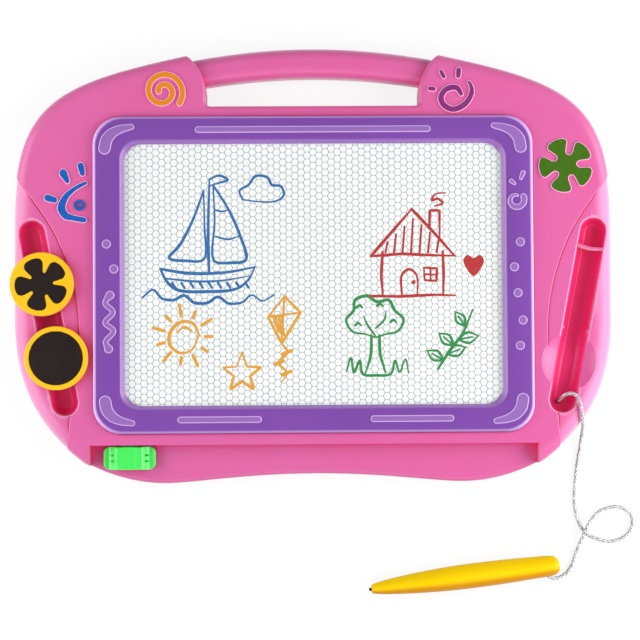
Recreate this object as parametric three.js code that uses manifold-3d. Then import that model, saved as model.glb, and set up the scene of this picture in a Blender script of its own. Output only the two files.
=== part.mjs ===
// Magnetic drawing board for children, lying on its back with its pen beside it.
// Millimetres, +Z up, the screen faces +Z. The origin is the centre of the board's footprint, on the table.
// The housing is two moulded shells round a drawing panel: a honeycomb of cells between two films. A magnet
// strip slides behind the panel and wipes it. Two stamps and a pen on a cord lie in or beside the trays.
import * as THREE from "three";
import { mergeVertices } from "three/addons/utils/BufferGeometryUtils.js";
import Module from "manifold-3d";

const wasm = await Module();
wasm.setup();

// Plan of the housing
const boardLength = 408; // over the two wings
const boardWidth = 298; // from the top of the handle to the lobes of the foot
const wingWidth = 54.5; // from the bezel's side to the edge of the board
const barWidth = 20.4; // handle bar at its middle
const barOuterFall = 6.2; // fall of the bar's upper edge at the shoulders
const barInnerFall = 5.8; // fall of its lower edge there
const barEndOverlap = 15; // run of the bar inside each shoulder
const gapHeight = 20.6; // finger gap, at its middle
const gapLength = 145.6;
const gapCorner = 3;
const shoulderRun = 13.9; // from the gap's side to the shoulder's peak
const gapLand = 7.4; // body between finger gap and bezel
const footDepth = 26.7; // lowered foot in front of the screen
const footEndRoom = 9.4; // between the knob at either end of its way and the end wall of the foot
const footLand = 7.8; // body between bezel and foot

// Heights and walls of the housing
const wall = 2.2;
const coverFloor = 2.4;
const seamHeight = 6; // the two shells meet here
const housingTop = 22;
const wingStep = 1.2; // the wings lie lower than the middle
const barTop = 17;
const footFall = 2; // slope of the foot towards its edge
const bodyEdgeAcross = 9; // round edge of the middle
const bodyEdgeDown = 6.5;
const wingEdgeAcross = 15; // the wings' edges are rounder
const wingEdgeDown = 10;
const barEdgeAcross = 8;
const barEdgeDown = 9;
const shoulderEdge = 2;
const footEdge = 3;
const footEdgeShare = 0.06; // the edge starts a little over the slope
const coverEdge = 4;
const lipRise = 2; // lip that locates the cover in the housing

// Clearances
const seat = 0.3; // between pieces that rest on or in each other
const rub = 0.4; // between the carrier's neck and its slot
const clearance = 0.5; // round the screws' heads
const overrun = 5; // how far a cutting body runs past what it cuts

// Drawing panel and its bezel
const bezelBand = 18.6; // above and below the screen
const bezelSideBand = 21.2; // beside it
const bezelRise = 3;
const bezelCrown = 0.6;
const bezelCorner = 19;
const bezelWall = 2.2;
const bezelEdge = 1.1;
const bezelRelief = 0.5;
const reliefWidth = 4;
const topBarHalf = 80;
const bottomBarStart = 37;
const bottomBarEnd = 93.5;
const crescentRadius = 11.5;
const crescentWidth = 4.6;
const crescentWidthShares = [1, 0.78, 0.52];
const crescentTurns = [-0.155, 0, 0.17, 0.34, 0.5, 0.62, 0.73]; // half turns round the bezel's corner
const openingCorner = 12;
const pocketDepth = 3.4; // seat of panel and bezel below the housing's top
const filmThickness = 0.3;
const coreThickness = 1.8;
const panelMargin = 9; // panel beyond what the strip wipes
const windowMargin = 6; // housing's window beyond it
const panelCorner = 4;
const rimHeight = 1.8; // rim that locates the panel
const rimThickness = 1.6;

// Eraser
const carrierWidth = 13;
const carrierThickness = 3.5;
const carrierOverhang = 5; // beyond each rail
const channelWall = 1.2;
const channelHeight = 0.9;
const stripWidth = 10;
const stripMargin = 2.2; // between strip and window at both ends
const stripOvertravel = 2.3; // the strip runs this far past the screen's opening
const neckWidth = 12.4;
const neckThickness = 2.4;
const knobLength = 35.4;
const knobWidth = 15.7;
const knobHeight = 8.6;
const knobCorner = 4.5;
const knobEdge = 1.8;
const grooveWidth = 1; // grip grooves across the outside of both crests
const grooveSpacing = 3.8;
const grooveReachShares = [0.47, 0.72];
const grooveFloorShare = 0.84;
const knobShares = [ // half of the saddle: shares of half the length and of the height
  [0, 0.81], [0.25, 0.87], [0.4, 0.98], [0.54, 1], [0.66, 0.95], [0.84, 0.62], [0.96, 0.32], [1, 0.1], [1, 0],
];
const neckEndShare = 0.68; // the neck goes this far into the knob
const knobGap = 1; // between knob and riser
const railThickness = 2;
const lugThickness = 1.5;
const lugHeight = 3;

// Trays
const trayWidth = 18.2;
const trayFloor = 9;
const trayLip = 1.2;
const lipShare = 0.3; // roundness of the lip
const trayAngles = [20, 45, 67, 90]; // degrees round the trays' lower edge
const scoopRadius = 19;
const scoopDepth = 7;
const scoopShares = [0.26, 0.55, 0.79, 1]; // rings of the dish
const ribThickness = 1.2;
const ribRise = 0.9;
const nubLength = 2.6;

// Stamps
const stampRadius = 21.8;
const stampThickness = 4.3;
const stampEdge = 0.8;
const magnetThickness = 1.2;
const magnetProud = 0.2;
const roundMagnetRadius = 18;
const flowerMagnetRadius = 17.8;
const flowerTurn = 5; // degrees, of magnet and emblem
const gripRadius = 7.3;
const stampPlay = 0.8; // the stamps lie this far off the middle of their tray, towards the screen
const gripHeight = 12.4;
const gripShares = [ // the grip below a stamp, from its tip up: shares of its radius and of its height
  [0.42, 0], [0.71, 0.1], [0.95, 0.28], [1, 0.38], [0.92, 0.47], [0.55, 0.6], [0.55, 1],
];
const petalShares = [ // one petal of five, from slit to slit: share of the radius, degrees
  [0.42, 0], [0.46, 7.5], [0.62, 9.3], [0.86, 11.8], [0.97, 19],
  [1, 36], [0.97, 53], [0.86, 60.2], [0.62, 62.7], [0.46, 64.5],
];

// Pen and cord
const penLength = 129.8;
const penRadius = 8.35;
const penTipX = 38.5; // where it lies on the table
const penTipY = -222.4;
const penTurn = 6.86; // degrees from the board's length
const penEdgeShare = 0.06; // its three ridges stand out by this share of the radius
const penShares = [ // rings: shares of the length from the tip, and of the radius
  [0, 0.31], [0.006, 0.37], [0.056, 0.54], [0.162, 0.73], [0.324, 0.92], [0.482, 1.01], [0.696, 0.99],
  [0.863, 0.9], [0.94, 0.85], [0.975, 0.76], [0.994, 0.55], [1, 0.27],
];
const nibRadius = 1.1;
const nibLength = 8;
const nibProud = 1.8;
const cordDiameter = 2.5;
const cordHoleDiameter = 3.6;
const knotRadius = 3;
const knotHeight = 3.6;

// Way of the cord: knot, hole, over the scoop's edge, over the board's edge, loop on the table, pen
const cordWay = [
  [167.4, -94.3, 6.7], [167.4, -94.3, 9.5], [167.7, -93.8, 12.6], [168.8, -92, 16.2], [170.7, -90.1, 19.2],
  [173, -89.1, 21.2], [175.5, -89.3, 22.5], [177.7, -90.6, 23.1], [179.3, -92.8, 23.2],
  [180.3, -95.6, 22.8], [181.3, -98.8, 21.8], [182.1, -102.4, 20.5], [182.6, -106.3, 18.5],
  [183.9, -111, 12.5], [184.3, -114.9, 8], [184.1, -120.3, 4.2], [183.3, -127.4, 2.2], [182.1, -135, 1.4],
  [180.9, -142.8, 1.3], [179.8, -153, 1.3], [179.3, -160.6, 1.3], [179.6, -168.1, 1.3],
  [180.7, -173.9, 1.3], [183.4, -181, 1.3], [187.4, -186.2, 1.3], [193, -189.2, 1.3], [198.6, -191, 1.3],
  [204.4, -191.7, 1.3], [210.2, -190.4, 1.3], [215, -187.7, 1.3], [218.3, -183.3, 1.3],
  [219.4, -178.2, 1.3], [218.5, -173.5, 1.3], [215, -170.1, 1.3], [210.4, -168.1, 1.3],
  [206.1, -167.9, 1.3], [201.6, -168.9, 1.5], [196.6, -171, 2.1], [192.3, -174.4, 3.2], [189, -178.4, 4.2],
  [186.5, -182.9, 4.5], [184.4, -188.2, 3.6], [181.9, -194.2, 2.2], [179.9, -199.5, 1.5],
  [178.4, -204.6, 1.3], [176.3, -209.4, 1.3], [173.2, -213.3, 1.3], [168.9, -216, 1.6],
  [164.4, -216.5, 2.8], [160, -214.7, 4.4],
];
const cordSteps = 60;

// Self-tapping screws
const screwHeadRadius = 2.7;
const screwHeadHeight = 1.7;
const screwShankRadius = 1.4;
const screwLength = 6.4;
const screwSink = 2.2; // head's face below the cover's outside
const bossRadius = 3.8;
const wellWall = 1.6;

// Emblems on the housing's top: shapes are shares of their radius, places shares of half the board
const emblemRise = 0.8;
const emblemRadius = 15.5;
const spiralRun = 15.6; // from the left shoulder's peak
const spiralRowShare = 0.794;
const spiralBandShare = 0.232;
const spiralRingShares = [0.16, 0.88];
const swirlRun = 9.4; // from the right shoulder's peak
const swirlRowShare = 0.777;
const swirlRingShares = [0.34, 0.85];
const swirlBandShares = [0.206, 0.27, 0.168];
const swirlDashShares = [
  [[-0.64, 1.23], [-0.5, 0.83]], [[0.17, 1.25], [0.12, 0.86]], [[-1.19, 0.37], [-0.85, 0.37]],
];
const archPlaceShares = [-0.805, 0.297];
const archShares = [
  [0.58, 0.72], [0.13, 0.46], [-0.32, -0.065], [-0.46, -0.47], [-0.226, -0.755], [0.18, -0.85],
  [0.58, -0.877],
];
const archBandShares = [0.23, 0.32, 0.27];
const archDotShares = [0.31, -0.23];
const archRingShares = [0.265, 0.116];
const archDashShares = [
  [[0.41, 1.52], [0.44, 1.14]], [[-0.41, 1.23], [-0.22, 0.81]], [[-1.08, 0.11], [-0.79, 0]],
];
const dashBandShares = [0.33, 0.22];
const blossomPlaceShares = [0.845, 0.456];
const blossomRadius = 17.4;

// Places that follow from the sizes above
const halfLength = boardLength / 2;
const halfWidth = boardWidth / 2;
const gapHalf = gapLength / 2;
const gapTop = halfWidth - barWidth;
const gapBottom = gapTop - gapHeight;
const riserY = -halfWidth + footDepth; // wall behind the foot
const bezelTopY = gapBottom - gapLand;
const bezelBottomY = riserY + footLand;
const screenY = (bezelTopY + bezelBottomY) / 2;
const bezelHalf = new THREE.Vector2(halfLength - wingWidth, (bezelTopY - bezelBottomY) / 2);
const openingHalf = bezelHalf.clone().sub(new THREE.Vector2(bezelSideBand, bezelBand));
const wipedHalf = openingHalf.clone().add(new THREE.Vector2(stripOvertravel, 0));
const panelHalf = wipedHalf.clone().addScalar(panelMargin);
const windowHalf = wipedHalf.clone().addScalar(windowMargin);
const wingTop = housingTop - wingStep;
const housingFoot = seamHeight + seat;
const pocketFloor = housingTop - pocketDepth;
const pocketUnder = pocketFloor - wall;
const panelTop = pocketFloor + 2 * filmThickness + coreThickness;
const bezelTop = housingTop + bezelRise;
const carrierTop = pocketUnder - seat;
const carrierBottom = carrierTop - carrierThickness;
const stripTop = pocketFloor - seat;
const railTop = carrierBottom - seat;
const railOffset = windowHalf.y + carrierOverhang;
const neckBottom = carrierTop - neckThickness;
const footTop = neckBottom - 2 * rub;
const footUnder = footTop - footFall - wall;
const eraserReach = wipedHalf.x - stripWidth / 2;
const stampBottom = housingTop + seat;
const footHalf = eraserReach + knobLength / 2 + footEndRoom;
const wellFloor = screwSink + screwHeadHeight + seat;
const wellTop = wellFloor + wellWall;
const bossFoot = wellTop + seat;
const screwTip = screwSink + screwHeadHeight + screwLength;

// Outline of the body without the handle: cubic curves down the right side, as shares of half the length
// and half the width. It starts at the shoulder's peak, whose own place follows the finger gap, and ends at
// the middle of the foot.
const peakShare = 0.962;
const outlineShares = [
  [[(gapHalf + shoulderRun) / halfLength, peakShare], [0.868, 0.831], [1, 0.748], [1, 0.185]],
  [[1, 0.185], [1, 0.039], [1, -0.107], [1, -0.253]],
  [[1, -0.253], [1, -0.56], [0.912, -0.755], [0.765, -0.9035]],
  [[0.765, -0.9035], [0.685, -0.964], [0.589, -1], [0.4985, -1]],
  [[0.4985, -1], [0.404, -1], [0.236, -0.96], [0, -0.96]],
];
const outlineSteps = [10, 1, 8, 5, 4];

// Crease between middle and wing, and the trays' axis: shares across the wing and of half the width
const creaseShares = [
  [1.225, 0.55], [0.938, 0.389], [0.475, 0.136], [0.239, -0.115], [0.182, -0.342],
  [0.25, -0.57], [0.302, -0.698], [0.324, -0.826], [0.35, -1.05],
];
const creaseSteps = 20;
const trayTopShares = [0.766, 0.146];
const trayBottomShares = [0.361, -0.6255];
const flowerStampShare = 0.303; // places along the trays' axis
const roundStampShare = 0.738;
const scoopShare = 0.778;
const ribShare = 0.095;
const nubShare = 0.583;

// Side of the shoulder, as shares of the way from the gap's corner to the shoulder's peak
const shoulderShares = [[0, 0.23], [0, 0.53], [0.37, 0.83], [1, 1]];
const shoulderSteps = 6;

// Screws of the back cover, as shares of half the length and half the width; both sides have each of them
const screwShares = [[0.468, 0.832], [0.79, 0.577], [0.79, -0.765], [0.293, -0.9]];

function vector(x, y) {
  return new THREE.Vector2(x, y);
}

// A point of the board from its shares of half the length and half the width
function boardPoint([across, along]) {
  return vector(halfLength * across, halfWidth * along);
}

// A point of the wing from its share across the wing and of half the width
function wingPoint([across, along]) {
  return vector(bezelHalf.x + wingWidth * across, halfWidth * along);
}

// Closes a right half, listed anticlockwise from the bottom up, with its mirror image
function withMirror(rightHalf) {
  const leftHalf = rightHalf.filter((point) => point.x > 0).reverse();
  return [...rightHalf, ...leftHalf.map((point) => vector(-point.x, point.y))];
}

// The same outline on the left side of the board
function flipped(outline) {
  return outline.map((point) => vector(-point.x, point.y)).reverse();
}

// Moves every side of a closed anticlockwise outline inwards, or outwards for a negative distance
function inset(outline, distance) {
  return outline.map((corner, i) => {
    const before = outline[(i + outline.length - 1) % outline.length];
    const after = outline[(i + 1) % outline.length];
    const arriving = corner.clone().sub(before).normalize();
    const leaving = after.clone().sub(corner).normalize();
    const mitre = vector(-arriving.y - leaving.y, arriving.x + leaving.x);
    return corner.clone().addScaledVector(mitre, distance / (1 + arriving.dot(leaving)));
  });
}

function roundedRectangle(half, corner, centreY, steps = 5) {
  const points = [];
  [[1, -1], [1, 1], [-1, 1], [-1, -1]].forEach(([sideX, sideY], quarter) => {
    const centre = vector(sideX * (half.x - corner), centreY + sideY * (half.y - corner));
    for (let step = 0; step <= steps; step++) {
      const angle = (quarter - 1 + step / steps) * (Math.PI / 2);
      points.push(vector(centre.x + corner * Math.cos(angle), centre.y + corner * Math.sin(angle)));
    }
  });
  return points;
}

// Slot with round ends between two centres
function stadium(start, end, radius, steps = 8) {
  const heading = end.clone().sub(start).angle();
  const points = [];
  for (const [centre, turn] of [[end, -0.5], [start, 0.5]]) {
    for (let step = 0; step <= steps; step++) {
      const angle = heading + (turn + step / steps) * Math.PI;
      points.push(vector(centre.x + radius * Math.cos(angle), centre.y + radius * Math.sin(angle)));
    }
  }
  return points;
}

// A band of changing width along a line of points, with round ends
function band(line, widths, endSteps = 3) {
  const lastIndex = line.length - 1;
  const sides = line.map((point, i) => {
    const heading = line[Math.min(i + 1, lastIndex)].clone().sub(line[Math.max(i - 1, 0)]).angle();
    const place = (i / lastIndex) * (widths.length - 1);
    const from = Math.min(Math.floor(place), widths.length - 2);
    const width = THREE.MathUtils.lerp(widths[from], widths[from + 1], place - from);
    return { point, heading, radius: width / 2 };
  });
  const rim = ({ point, heading, radius }, turn) => {
    const angle = heading + turn * Math.PI;
    return vector(point.x + radius * Math.cos(angle), point.y + radius * Math.sin(angle));
  };
  const endCap = (side, from) => {
    const turns = Array.from({ length: endSteps - 1 }, (_, k) => from + (k + 1) / endSteps);
    return turns.map((turn) => rim(side, turn));
  };
  return [
    ...sides.map((side) => rim(side, -0.5)),
    ...endCap(sides[lastIndex], -0.5),
    ...sides.slice().reverse().map((side) => rim(side, 0.5)),
    ...endCap(sides[0], 0.5),
  ];
}

function spiralLine(startRadius, endRadius, startAngle, sweep, steps) {
  return Array.from({ length: steps + 1 }, (_, step) => {
    const angle = startAngle + (sweep * step) / steps;
    const radius = THREE.MathUtils.lerp(startRadius, endRadius, step / steps);
    return vector(radius * Math.cos(angle), radius * Math.sin(angle));
  });
}

function smoothLine(points, steps) {
  return new THREE.SplineCurve(points).getPoints(steps);
}

function moved(outline, offset) {
  return outline.map((point) => point.clone().add(offset));
}

// Rings of equally many points, each a flat outline at its own height, joined by side walls. The first and
// the last get a lid, or are joined to each other when looped.
function loft(rings, looped = false) {
  const count = rings[0].outline.length;
  const positions = rings.flatMap(({ outline, height }) => outline.flatMap(({ x, y }) => [x, y, height]));
  const faces = [];
  const spans = looped ? rings.length : rings.length - 1;
  for (let level = 0; level < spans; level++) {
    const lower = level * count;
    const upper = ((level + 1) % rings.length) * count;
    for (let i = 0; i < count; i++) {
      const next = (i + 1) % count;
      faces.push(lower + i, lower + next, upper + next);
      faces.push(lower + i, upper + next, upper + i);
    }
  }
  if (!looped) {
    const top = (rings.length - 1) * count;
    for (const [a, b, c] of THREE.ShapeUtils.triangulateShape(rings[0].outline, [])) faces.push(c, b, a);
    for (const [a, b, c] of THREE.ShapeUtils.triangulateShape(rings.at(-1).outline, [])) {
      faces.push(top + a, top + b, top + c);
    }
  }
  const geometry = new THREE.BufferGeometry();
  geometry.setAttribute("position", new THREE.Float32BufferAttribute(positions, 3));
  geometry.setIndex(faces);
  return geometry;
}

// An outline raised from one height to another, with its sides following a profile of [inset, height]
function slab(outline, profile) {
  return loft(profile.map(([distance, height]) => ({ outline: inset(outline, distance), height })));
}

function prism(outline, bottom, top) {
  return slab(outline, [[0, bottom], [0, top]]);
}

// Profile of a round upper edge, from the side to the flat top
function roundTop(across, down, top, steps, start = 0) {
  return Array.from({ length: steps + 1 }, (_, step) => {
    const angle = ((step / steps) * Math.PI) / 2;
    return [start + across * (1 - Math.cos(angle)), top - down * (1 - Math.sin(angle))];
  });
}

// Profile of a round lower edge, from the flat bottom to the side
function roundBottom(radius, steps) {
  return roundTop(radius, radius, 0, steps).reverse().map(([distance, height]) => [distance, -height]);
}

// Turns a body made along Z to lie along X, with its X and Y becoming Y and Z
function alongX(geometry) {
  const cycle = new THREE.Matrix4().makeBasis(
    new THREE.Vector3(0, 1, 0), new THREE.Vector3(0, 0, 1), new THREE.Vector3(1, 0, 0),
  );
  return geometry.applyMatrix4(cycle);
}

function box(low, high) {
  const [[left, front, bottom], [right, back, top]] = [low, high];
  const corners = [vector(left, front), vector(right, front), vector(right, back), vector(left, back)];
  return prism(corners, bottom, top);
}

function cylinder(centre, radius, bottom, top, sides = 8) {
  const outline = Array.from({ length: sides }, (_, i) => {
    const angle = (2 * Math.PI * (i + 0.5)) / sides;
    return vector(centre.x + radius * Math.cos(angle), centre.y + radius * Math.sin(angle));
  });
  return prism(outline, bottom, top);
}

function solid(geometry) {
  const bare = geometry.clone();
  bare.deleteAttribute("normal");
  bare.deleteAttribute("uv");
  const merged = mergeVertices(bare);
  return new wasm.Manifold(new wasm.Mesh({
    numProp: 3,
    vertProperties: merged.getAttribute("position").array,
    triVerts: new Uint32Array(merged.index.array),
  }));
}

function union(geometries) {
  return geometries.map(solid).reduce((sum, next) => sum.add(next));
}

function geometryOf(body) {
  const { vertProperties, triVerts } = body.getMesh();
  const geometry = new THREE.BufferGeometry();
  geometry.setAttribute("position", new THREE.BufferAttribute(new Float32Array(vertProperties), 3));
  geometry.setIndex(new THREE.BufferAttribute(new Uint32Array(triVerts), 1));
  return geometry;
}

// Outlines that several pieces share
const rightOutline = outlineShares.flatMap((curve, i) => {
  const points = new THREE.CubicBezierCurve(...curve.map(boardPoint)).getPoints(outlineSteps[i]);
  return i === 0 ? points : points.slice(1);
});
const bodyOutline = withMirror(rightOutline.reverse());
const peak = boardPoint(outlineShares[0][0]);
const archPlace = boardPoint(archPlaceShares);

// Space between the shoulders, open towards the back of the board
function notchOutline() {
  const rightHalf = [];
  const cornerSteps = 3;
  for (let step = 0; step <= cornerSteps; step++) {
    const angle = (step / cornerSteps - 1) * (Math.PI / 2);
    rightHalf.push(vector(
      gapHalf - gapCorner + gapCorner * Math.cos(angle),
      gapBottom + gapCorner + gapCorner * Math.sin(angle),
    ));
  }
  const run = peak.clone().sub(vector(gapHalf, gapBottom));
  const side = shoulderShares.map(([across, along]) => (
    vector(gapHalf + run.x * across, gapBottom + run.y * along)
  ));
  rightHalf.push(...new THREE.CubicBezierCurve(...side).getPoints(shoulderSteps));
  rightHalf.push(peak.clone().add(vector(overrun + shoulderEdge, overrun)));
  rightHalf.push(vector(peak.x + overrun + shoulderEdge, halfWidth + 2 * overrun));
  return withMirror(rightHalf);
}

// Handle bar: two shallow arcs, with its ends inside the shoulders
function barOutline() {
  const end = gapHalf + barEndOverlap;
  const steps = 8;
  const arc = (crest, fall) => Array.from({ length: steps + 1 }, (_, step) => {
    const x = (end * step) / steps;
    return vector(x, crest - fall * (x / gapHalf) ** 2);
  });
  return withMirror([...arc(gapTop, barInnerFall), ...arc(halfWidth, barOuterFall).reverse()]);
}

const notch = notchOutline();
const bar = barOutline();
const trayTopCentre = wingPoint(trayTopShares);
const trayBottomCentre = wingPoint(trayBottomShares);
const trayRadius = trayWidth / 2;
const trayAxis = trayBottomCentre.clone().sub(trayTopCentre);
const trayOutline = stadium(trayTopCentre, trayBottomCentre, trayRadius);
const screwPlaces = screwShares.map(boardPoint).flatMap((place) => [place, vector(-place.x, place.y)]);
screwPlaces.push(vector(0, halfWidth - barWidth / 2));
const cordHole = vector(trayBottomCentre.x - trayRadius / 5, trayBottomCentre.y - trayRadius / 8);

function trayPoint(share) {
  return trayTopCentre.clone().addScaledVector(trayAxis, share);
}

function pocketOutline(growth) {
  return roundedRectangle(bezelHalf.clone().addScalar(growth), bezelCorner + growth, screenY);
}

// Outer shape of the front housing: middle, wings beyond the crease, foot and handle bar
function housingShape() {
  const middle = solid(slab(bodyOutline, [
    [0, housingFoot], ...roundTop(bodyEdgeAcross, bodyEdgeDown, housingTop, 4),
  ]));
  const wings = solid(slab(bodyOutline, [
    [0, housingFoot], ...roundTop(wingEdgeAcross, wingEdgeDown, wingTop, 4),
  ]));
  const crease = smoothLine(creaseShares.map(wingPoint), creaseSteps);
  const rightZone = [
    ...crease,
    vector(halfLength + wingWidth, crease.at(-1).y),
    vector(halfLength + wingWidth, crease[0].y),
  ];
  const wingFoot = wingTop - wingEdgeDown;
  const zones = union([rightZone, flipped(rightZone)].map((zone) => (
    prism(zone, wingFoot, housingTop + overrun)
  )));
  const flare = roundTop(-shoulderEdge, shoulderEdge, housingTop, 2);
  const gap = solid(slab(notch, [[0, 0], ...flare, [-shoulderEdge, housingTop + overrun]]));
  const handle = solid(slab(bar, [[0, housingFoot], ...roundTop(barEdgeAcross, barEdgeDown, barTop, 4)]));
  return middle.subtract(zones.subtract(wings)).subtract(footCut()).subtract(gap).add(handle);
}

// What is taken away above the lowered foot: it slopes down towards its round edge
function footCut() {
  const zone = solid(box(
    [-footHalf, -halfWidth - overrun, housingFoot], [footHalf, riserY, housingTop + overrun],
  ));
  const edgeTop = footTop - footFall;
  const edge = solid(slab(bodyOutline, [
    [0, housingFoot], ...roundTop(footEdge, footEdge, edgeTop + footEdge * footEdgeShare, 2),
    [2 * footEdge, footTop + footEdge], [2 * footEdge, housingTop + 2 * overrun],
  ]));
  const fall = footFall / footDepth;
  const front = -halfWidth - 2 * overrun;
  const back = riserY + overrun;
  const above = [
    vector(front, edgeTop - fall * 2 * overrun), vector(back, footTop + fall * overrun),
    vector(back, housingTop + 3 * overrun), vector(front, housingTop + 3 * overrun),
  ];
  const slope = solid(alongX(prism(above, -halfLength, halfLength)));
  return zone.subtract(edge.subtract(slope));
}

// Room inside the two shells between two heights, walls left standing all round
function innerRoom(thickness, bodyProfile, barProfile, bottom, top) {
  const grownNotch = solid(prism(inset(notch, -thickness), bottom - overrun, top + overrun));
  return solid(slab(bodyOutline, bodyProfile)).subtract(grownNotch).add(solid(slab(bar, barProfile)));
}

function housingRoom() {
  const bodyRound = roundTop(wingEdgeAcross - wall, wingEdgeDown, wingTop - wall, 4, wall);
  const barRound = roundTop(barEdgeAcross - wall, barEdgeDown, barTop - wall, 4, wall);
  return innerRoom(wall, [[wall, 0], ...bodyRound], [[wall, 0], ...barRound], 0, housingTop);
}

function trayCut() {
  const walls = trayAngles.map((degrees) => {
    const angle = THREE.MathUtils.degToRad(degrees);
    const rise = Math.cos(THREE.MathUtils.degToRad(trayAngles[0])) - Math.cos(angle);
    return [trayRadius * (1 - Math.sin(angle)), trayFloor + trayRadius * rise];
  });
  return slab(trayOutline, [
    ...walls, [0, wingTop - trayLip], [-trayLip * lipShare, wingTop - trayLip * lipShare],
    [-trayLip, wingTop], [-trayLip, housingTop + overrun],
  ]);
}

// Finger scoop: a dish across the pen tray
function scoopCut() {
  const sphere = (scoopRadius ** 2 + scoopDepth ** 2) / (2 * scoopDepth);
  const centreHeight = wingTop - scoopDepth + sphere;
  const dish = scoopShares.map((share) => {
    const radius = scoopRadius * share;
    return [scoopRadius - radius, centreHeight - Math.sqrt(sphere ** 2 - radius ** 2)];
  });
  return slab(circle(trayPoint(scoopShare), scoopRadius, 28), [...dish, [0, housingTop + overrun]]);
}

function circle(centre, radius, sides) {
  return Array.from({ length: sides }, (_, i) => {
    const angle = (2 * Math.PI * (i + 0.5)) / sides;
    return vector(centre.x + radius * Math.cos(angle), centre.y + radius * Math.sin(angle));
  });
}

function frontHousing() {
  const shape = housingShape();
  const scoopSupport = circle(trayPoint(scoopShare), scoopRadius + wall, 28);
  const supports = union([
    prism(pocketOutline(seat + wall), pocketUnder, housingTop),
    ...[trayOutline, flipped(trayOutline)].map((tray) => (
      slab(tray, [[trayRadius / 2, trayFloor - wall], [-wall, trayFloor + wall], [-wall, housingTop]])
    )),
    slab(scoopSupport, [
      [scoopRadius / 2, wingTop - scoopDepth - wall], [0, wingTop - wall], [0, housingTop],
    ]),
    box([-footHalf - wall, -boardWidth, footUnder], [footHalf + wall, riserY + wall, housingTop]),
    ...screwPlaces.map((place) => cylinder(place, bossRadius, bossFoot, housingTop)),
  ]).intersect(shape);

  const slotHalf = eraserReach + neckWidth / 2 + knobGap;
  const cuts = union([
    prism(pocketOutline(seat), pocketFloor, housingTop + overrun),
    prism(roundedRectangle(windowHalf, panelCorner, screenY, 3), pocketUnder - overrun, housingTop),
    trayCut(),
    scoopCut(),
    box([-slotHalf, riserY - overrun, neckBottom - rub], [slotHalf, riserY + overrun, carrierTop + rub]),
    ...screwPlaces.map((place) => cylinder(place, screwShankRadius + seat, 0, screwTip + rub)),
    cylinder(cordHole, cordHoleDiameter / 2, 0, trayFloor + wall),
  ]).add(solid(mirrored(trayCut())));

  const rimHalf = panelHalf.clone().addScalar(rub);
  const rim = solid(prism(
    roundedRectangle(rimHalf.clone().addScalar(rimThickness), panelCorner + rimThickness, screenY, 3),
    pocketUnder, pocketFloor + rimHeight,
  )).subtract(solid(prism(roundedRectangle(rimHalf, panelCorner, screenY, 3), 0, housingTop)));

  const across = vector(-trayAxis.y, trayAxis.x).normalize();
  const ribEnds = [-1, 1].map((side) => (
    trayPoint(ribShare).addScaledVector(across, side * (trayRadius + trayLip))
  ));
  const nubs = [-1, 1].map((side) => trayPoint(nubShare).addScaledVector(across, side * trayRadius));
  const details = union([
    prism(band(ribEnds, [ribThickness, ribThickness]), trayFloor - wall / 2, wingTop + ribRise),
    ...nubs.map((place) => cylinder(place, nubLength / 2, trayFloor + wall, wingTop - ribRise)),
  ]);

  return shape.subtract(housingRoom()).add(supports).subtract(cuts).add(rim).add(details).add(emblemBodies());
}

// The same body on the left side of the board
function mirrored(geometry) {
  const copy = geometry.clone();
  const position = copy.getAttribute("position");
  for (let i = 0; i < position.count; i++) position.setX(i, -position.getX(i));
  const index = copy.index.array;
  const turned = [];
  for (let i = 0; i < index.length; i += 3) turned.push(index[i], index[i + 2], index[i + 1]);
  copy.setIndex(turned);
  return copy;
}

function backCover() {
  const top = seamHeight - seat;
  const lowerEdge = roundBottom(coverEdge, 2);
  const gap = solid(prism(notch, -overrun, housingTop));
  const shape = solid(slab(bodyOutline, [...lowerEdge, [0, top]])).subtract(gap)
    .add(solid(slab(bar, [...lowerEdge, [0, top]])));
  const room = (thickness, bottom, upper) => {
    const profile = [[thickness, bottom], [thickness, upper]];
    return innerRoom(thickness, profile, profile, bottom, upper);
  };
  const lipOuter = room(wall + rub, coverFloor / 2, seamHeight + lipRise);
  const lip = lipOuter.subtract(room(wall + rub + rimThickness, coverFloor, housingTop));
  const trays = union([trayOutline, flipped(trayOutline)].map((tray) => (
    prism(inset(tray, -wall - seat), seamHeight, housingTop)
  )));
  const railHalf = eraserReach + carrierWidth / 2 + railThickness;
  const rails = [-1, 1].map((side) => {
    const front = screenY + side * railOffset - railThickness / 2;
    return box([-railHalf, front, coverFloor / 2], [railHalf, front + railThickness, railTop]);
  });
  const wellRadius = screwHeadRadius + clearance;
  const wells = screwPlaces.map((place) => cylinder(place, wellRadius + wellWall, coverFloor / 2, wellTop));
  const holes = union([
    ...screwPlaces.map((place) => cylinder(place, wellRadius, -overrun, wellFloor)),
    ...screwPlaces.map((place) => cylinder(place, screwShankRadius + seat, 0, housingTop)),
  ]);
  return shape.subtract(room(wall, coverFloor, housingTop)).add(lip.subtract(trays))
    .add(union([...rails, ...wells])).subtract(holes);
}

// Ring of the bezel at a distance from its upper or lower side. The distance from the other two sides is
// larger, as the band is wider there, and the corners tighten towards the opening.
function bezelRing(distance, height) {
  const share = distance / bezelBand;
  const corner = THREE.MathUtils.lerp(bezelCorner, openingCorner, share);
  const half = bezelHalf.clone().lerp(openingHalf, share);
  return { outline: roundedRectangle(half, corner, screenY, 5), height };
}

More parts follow.
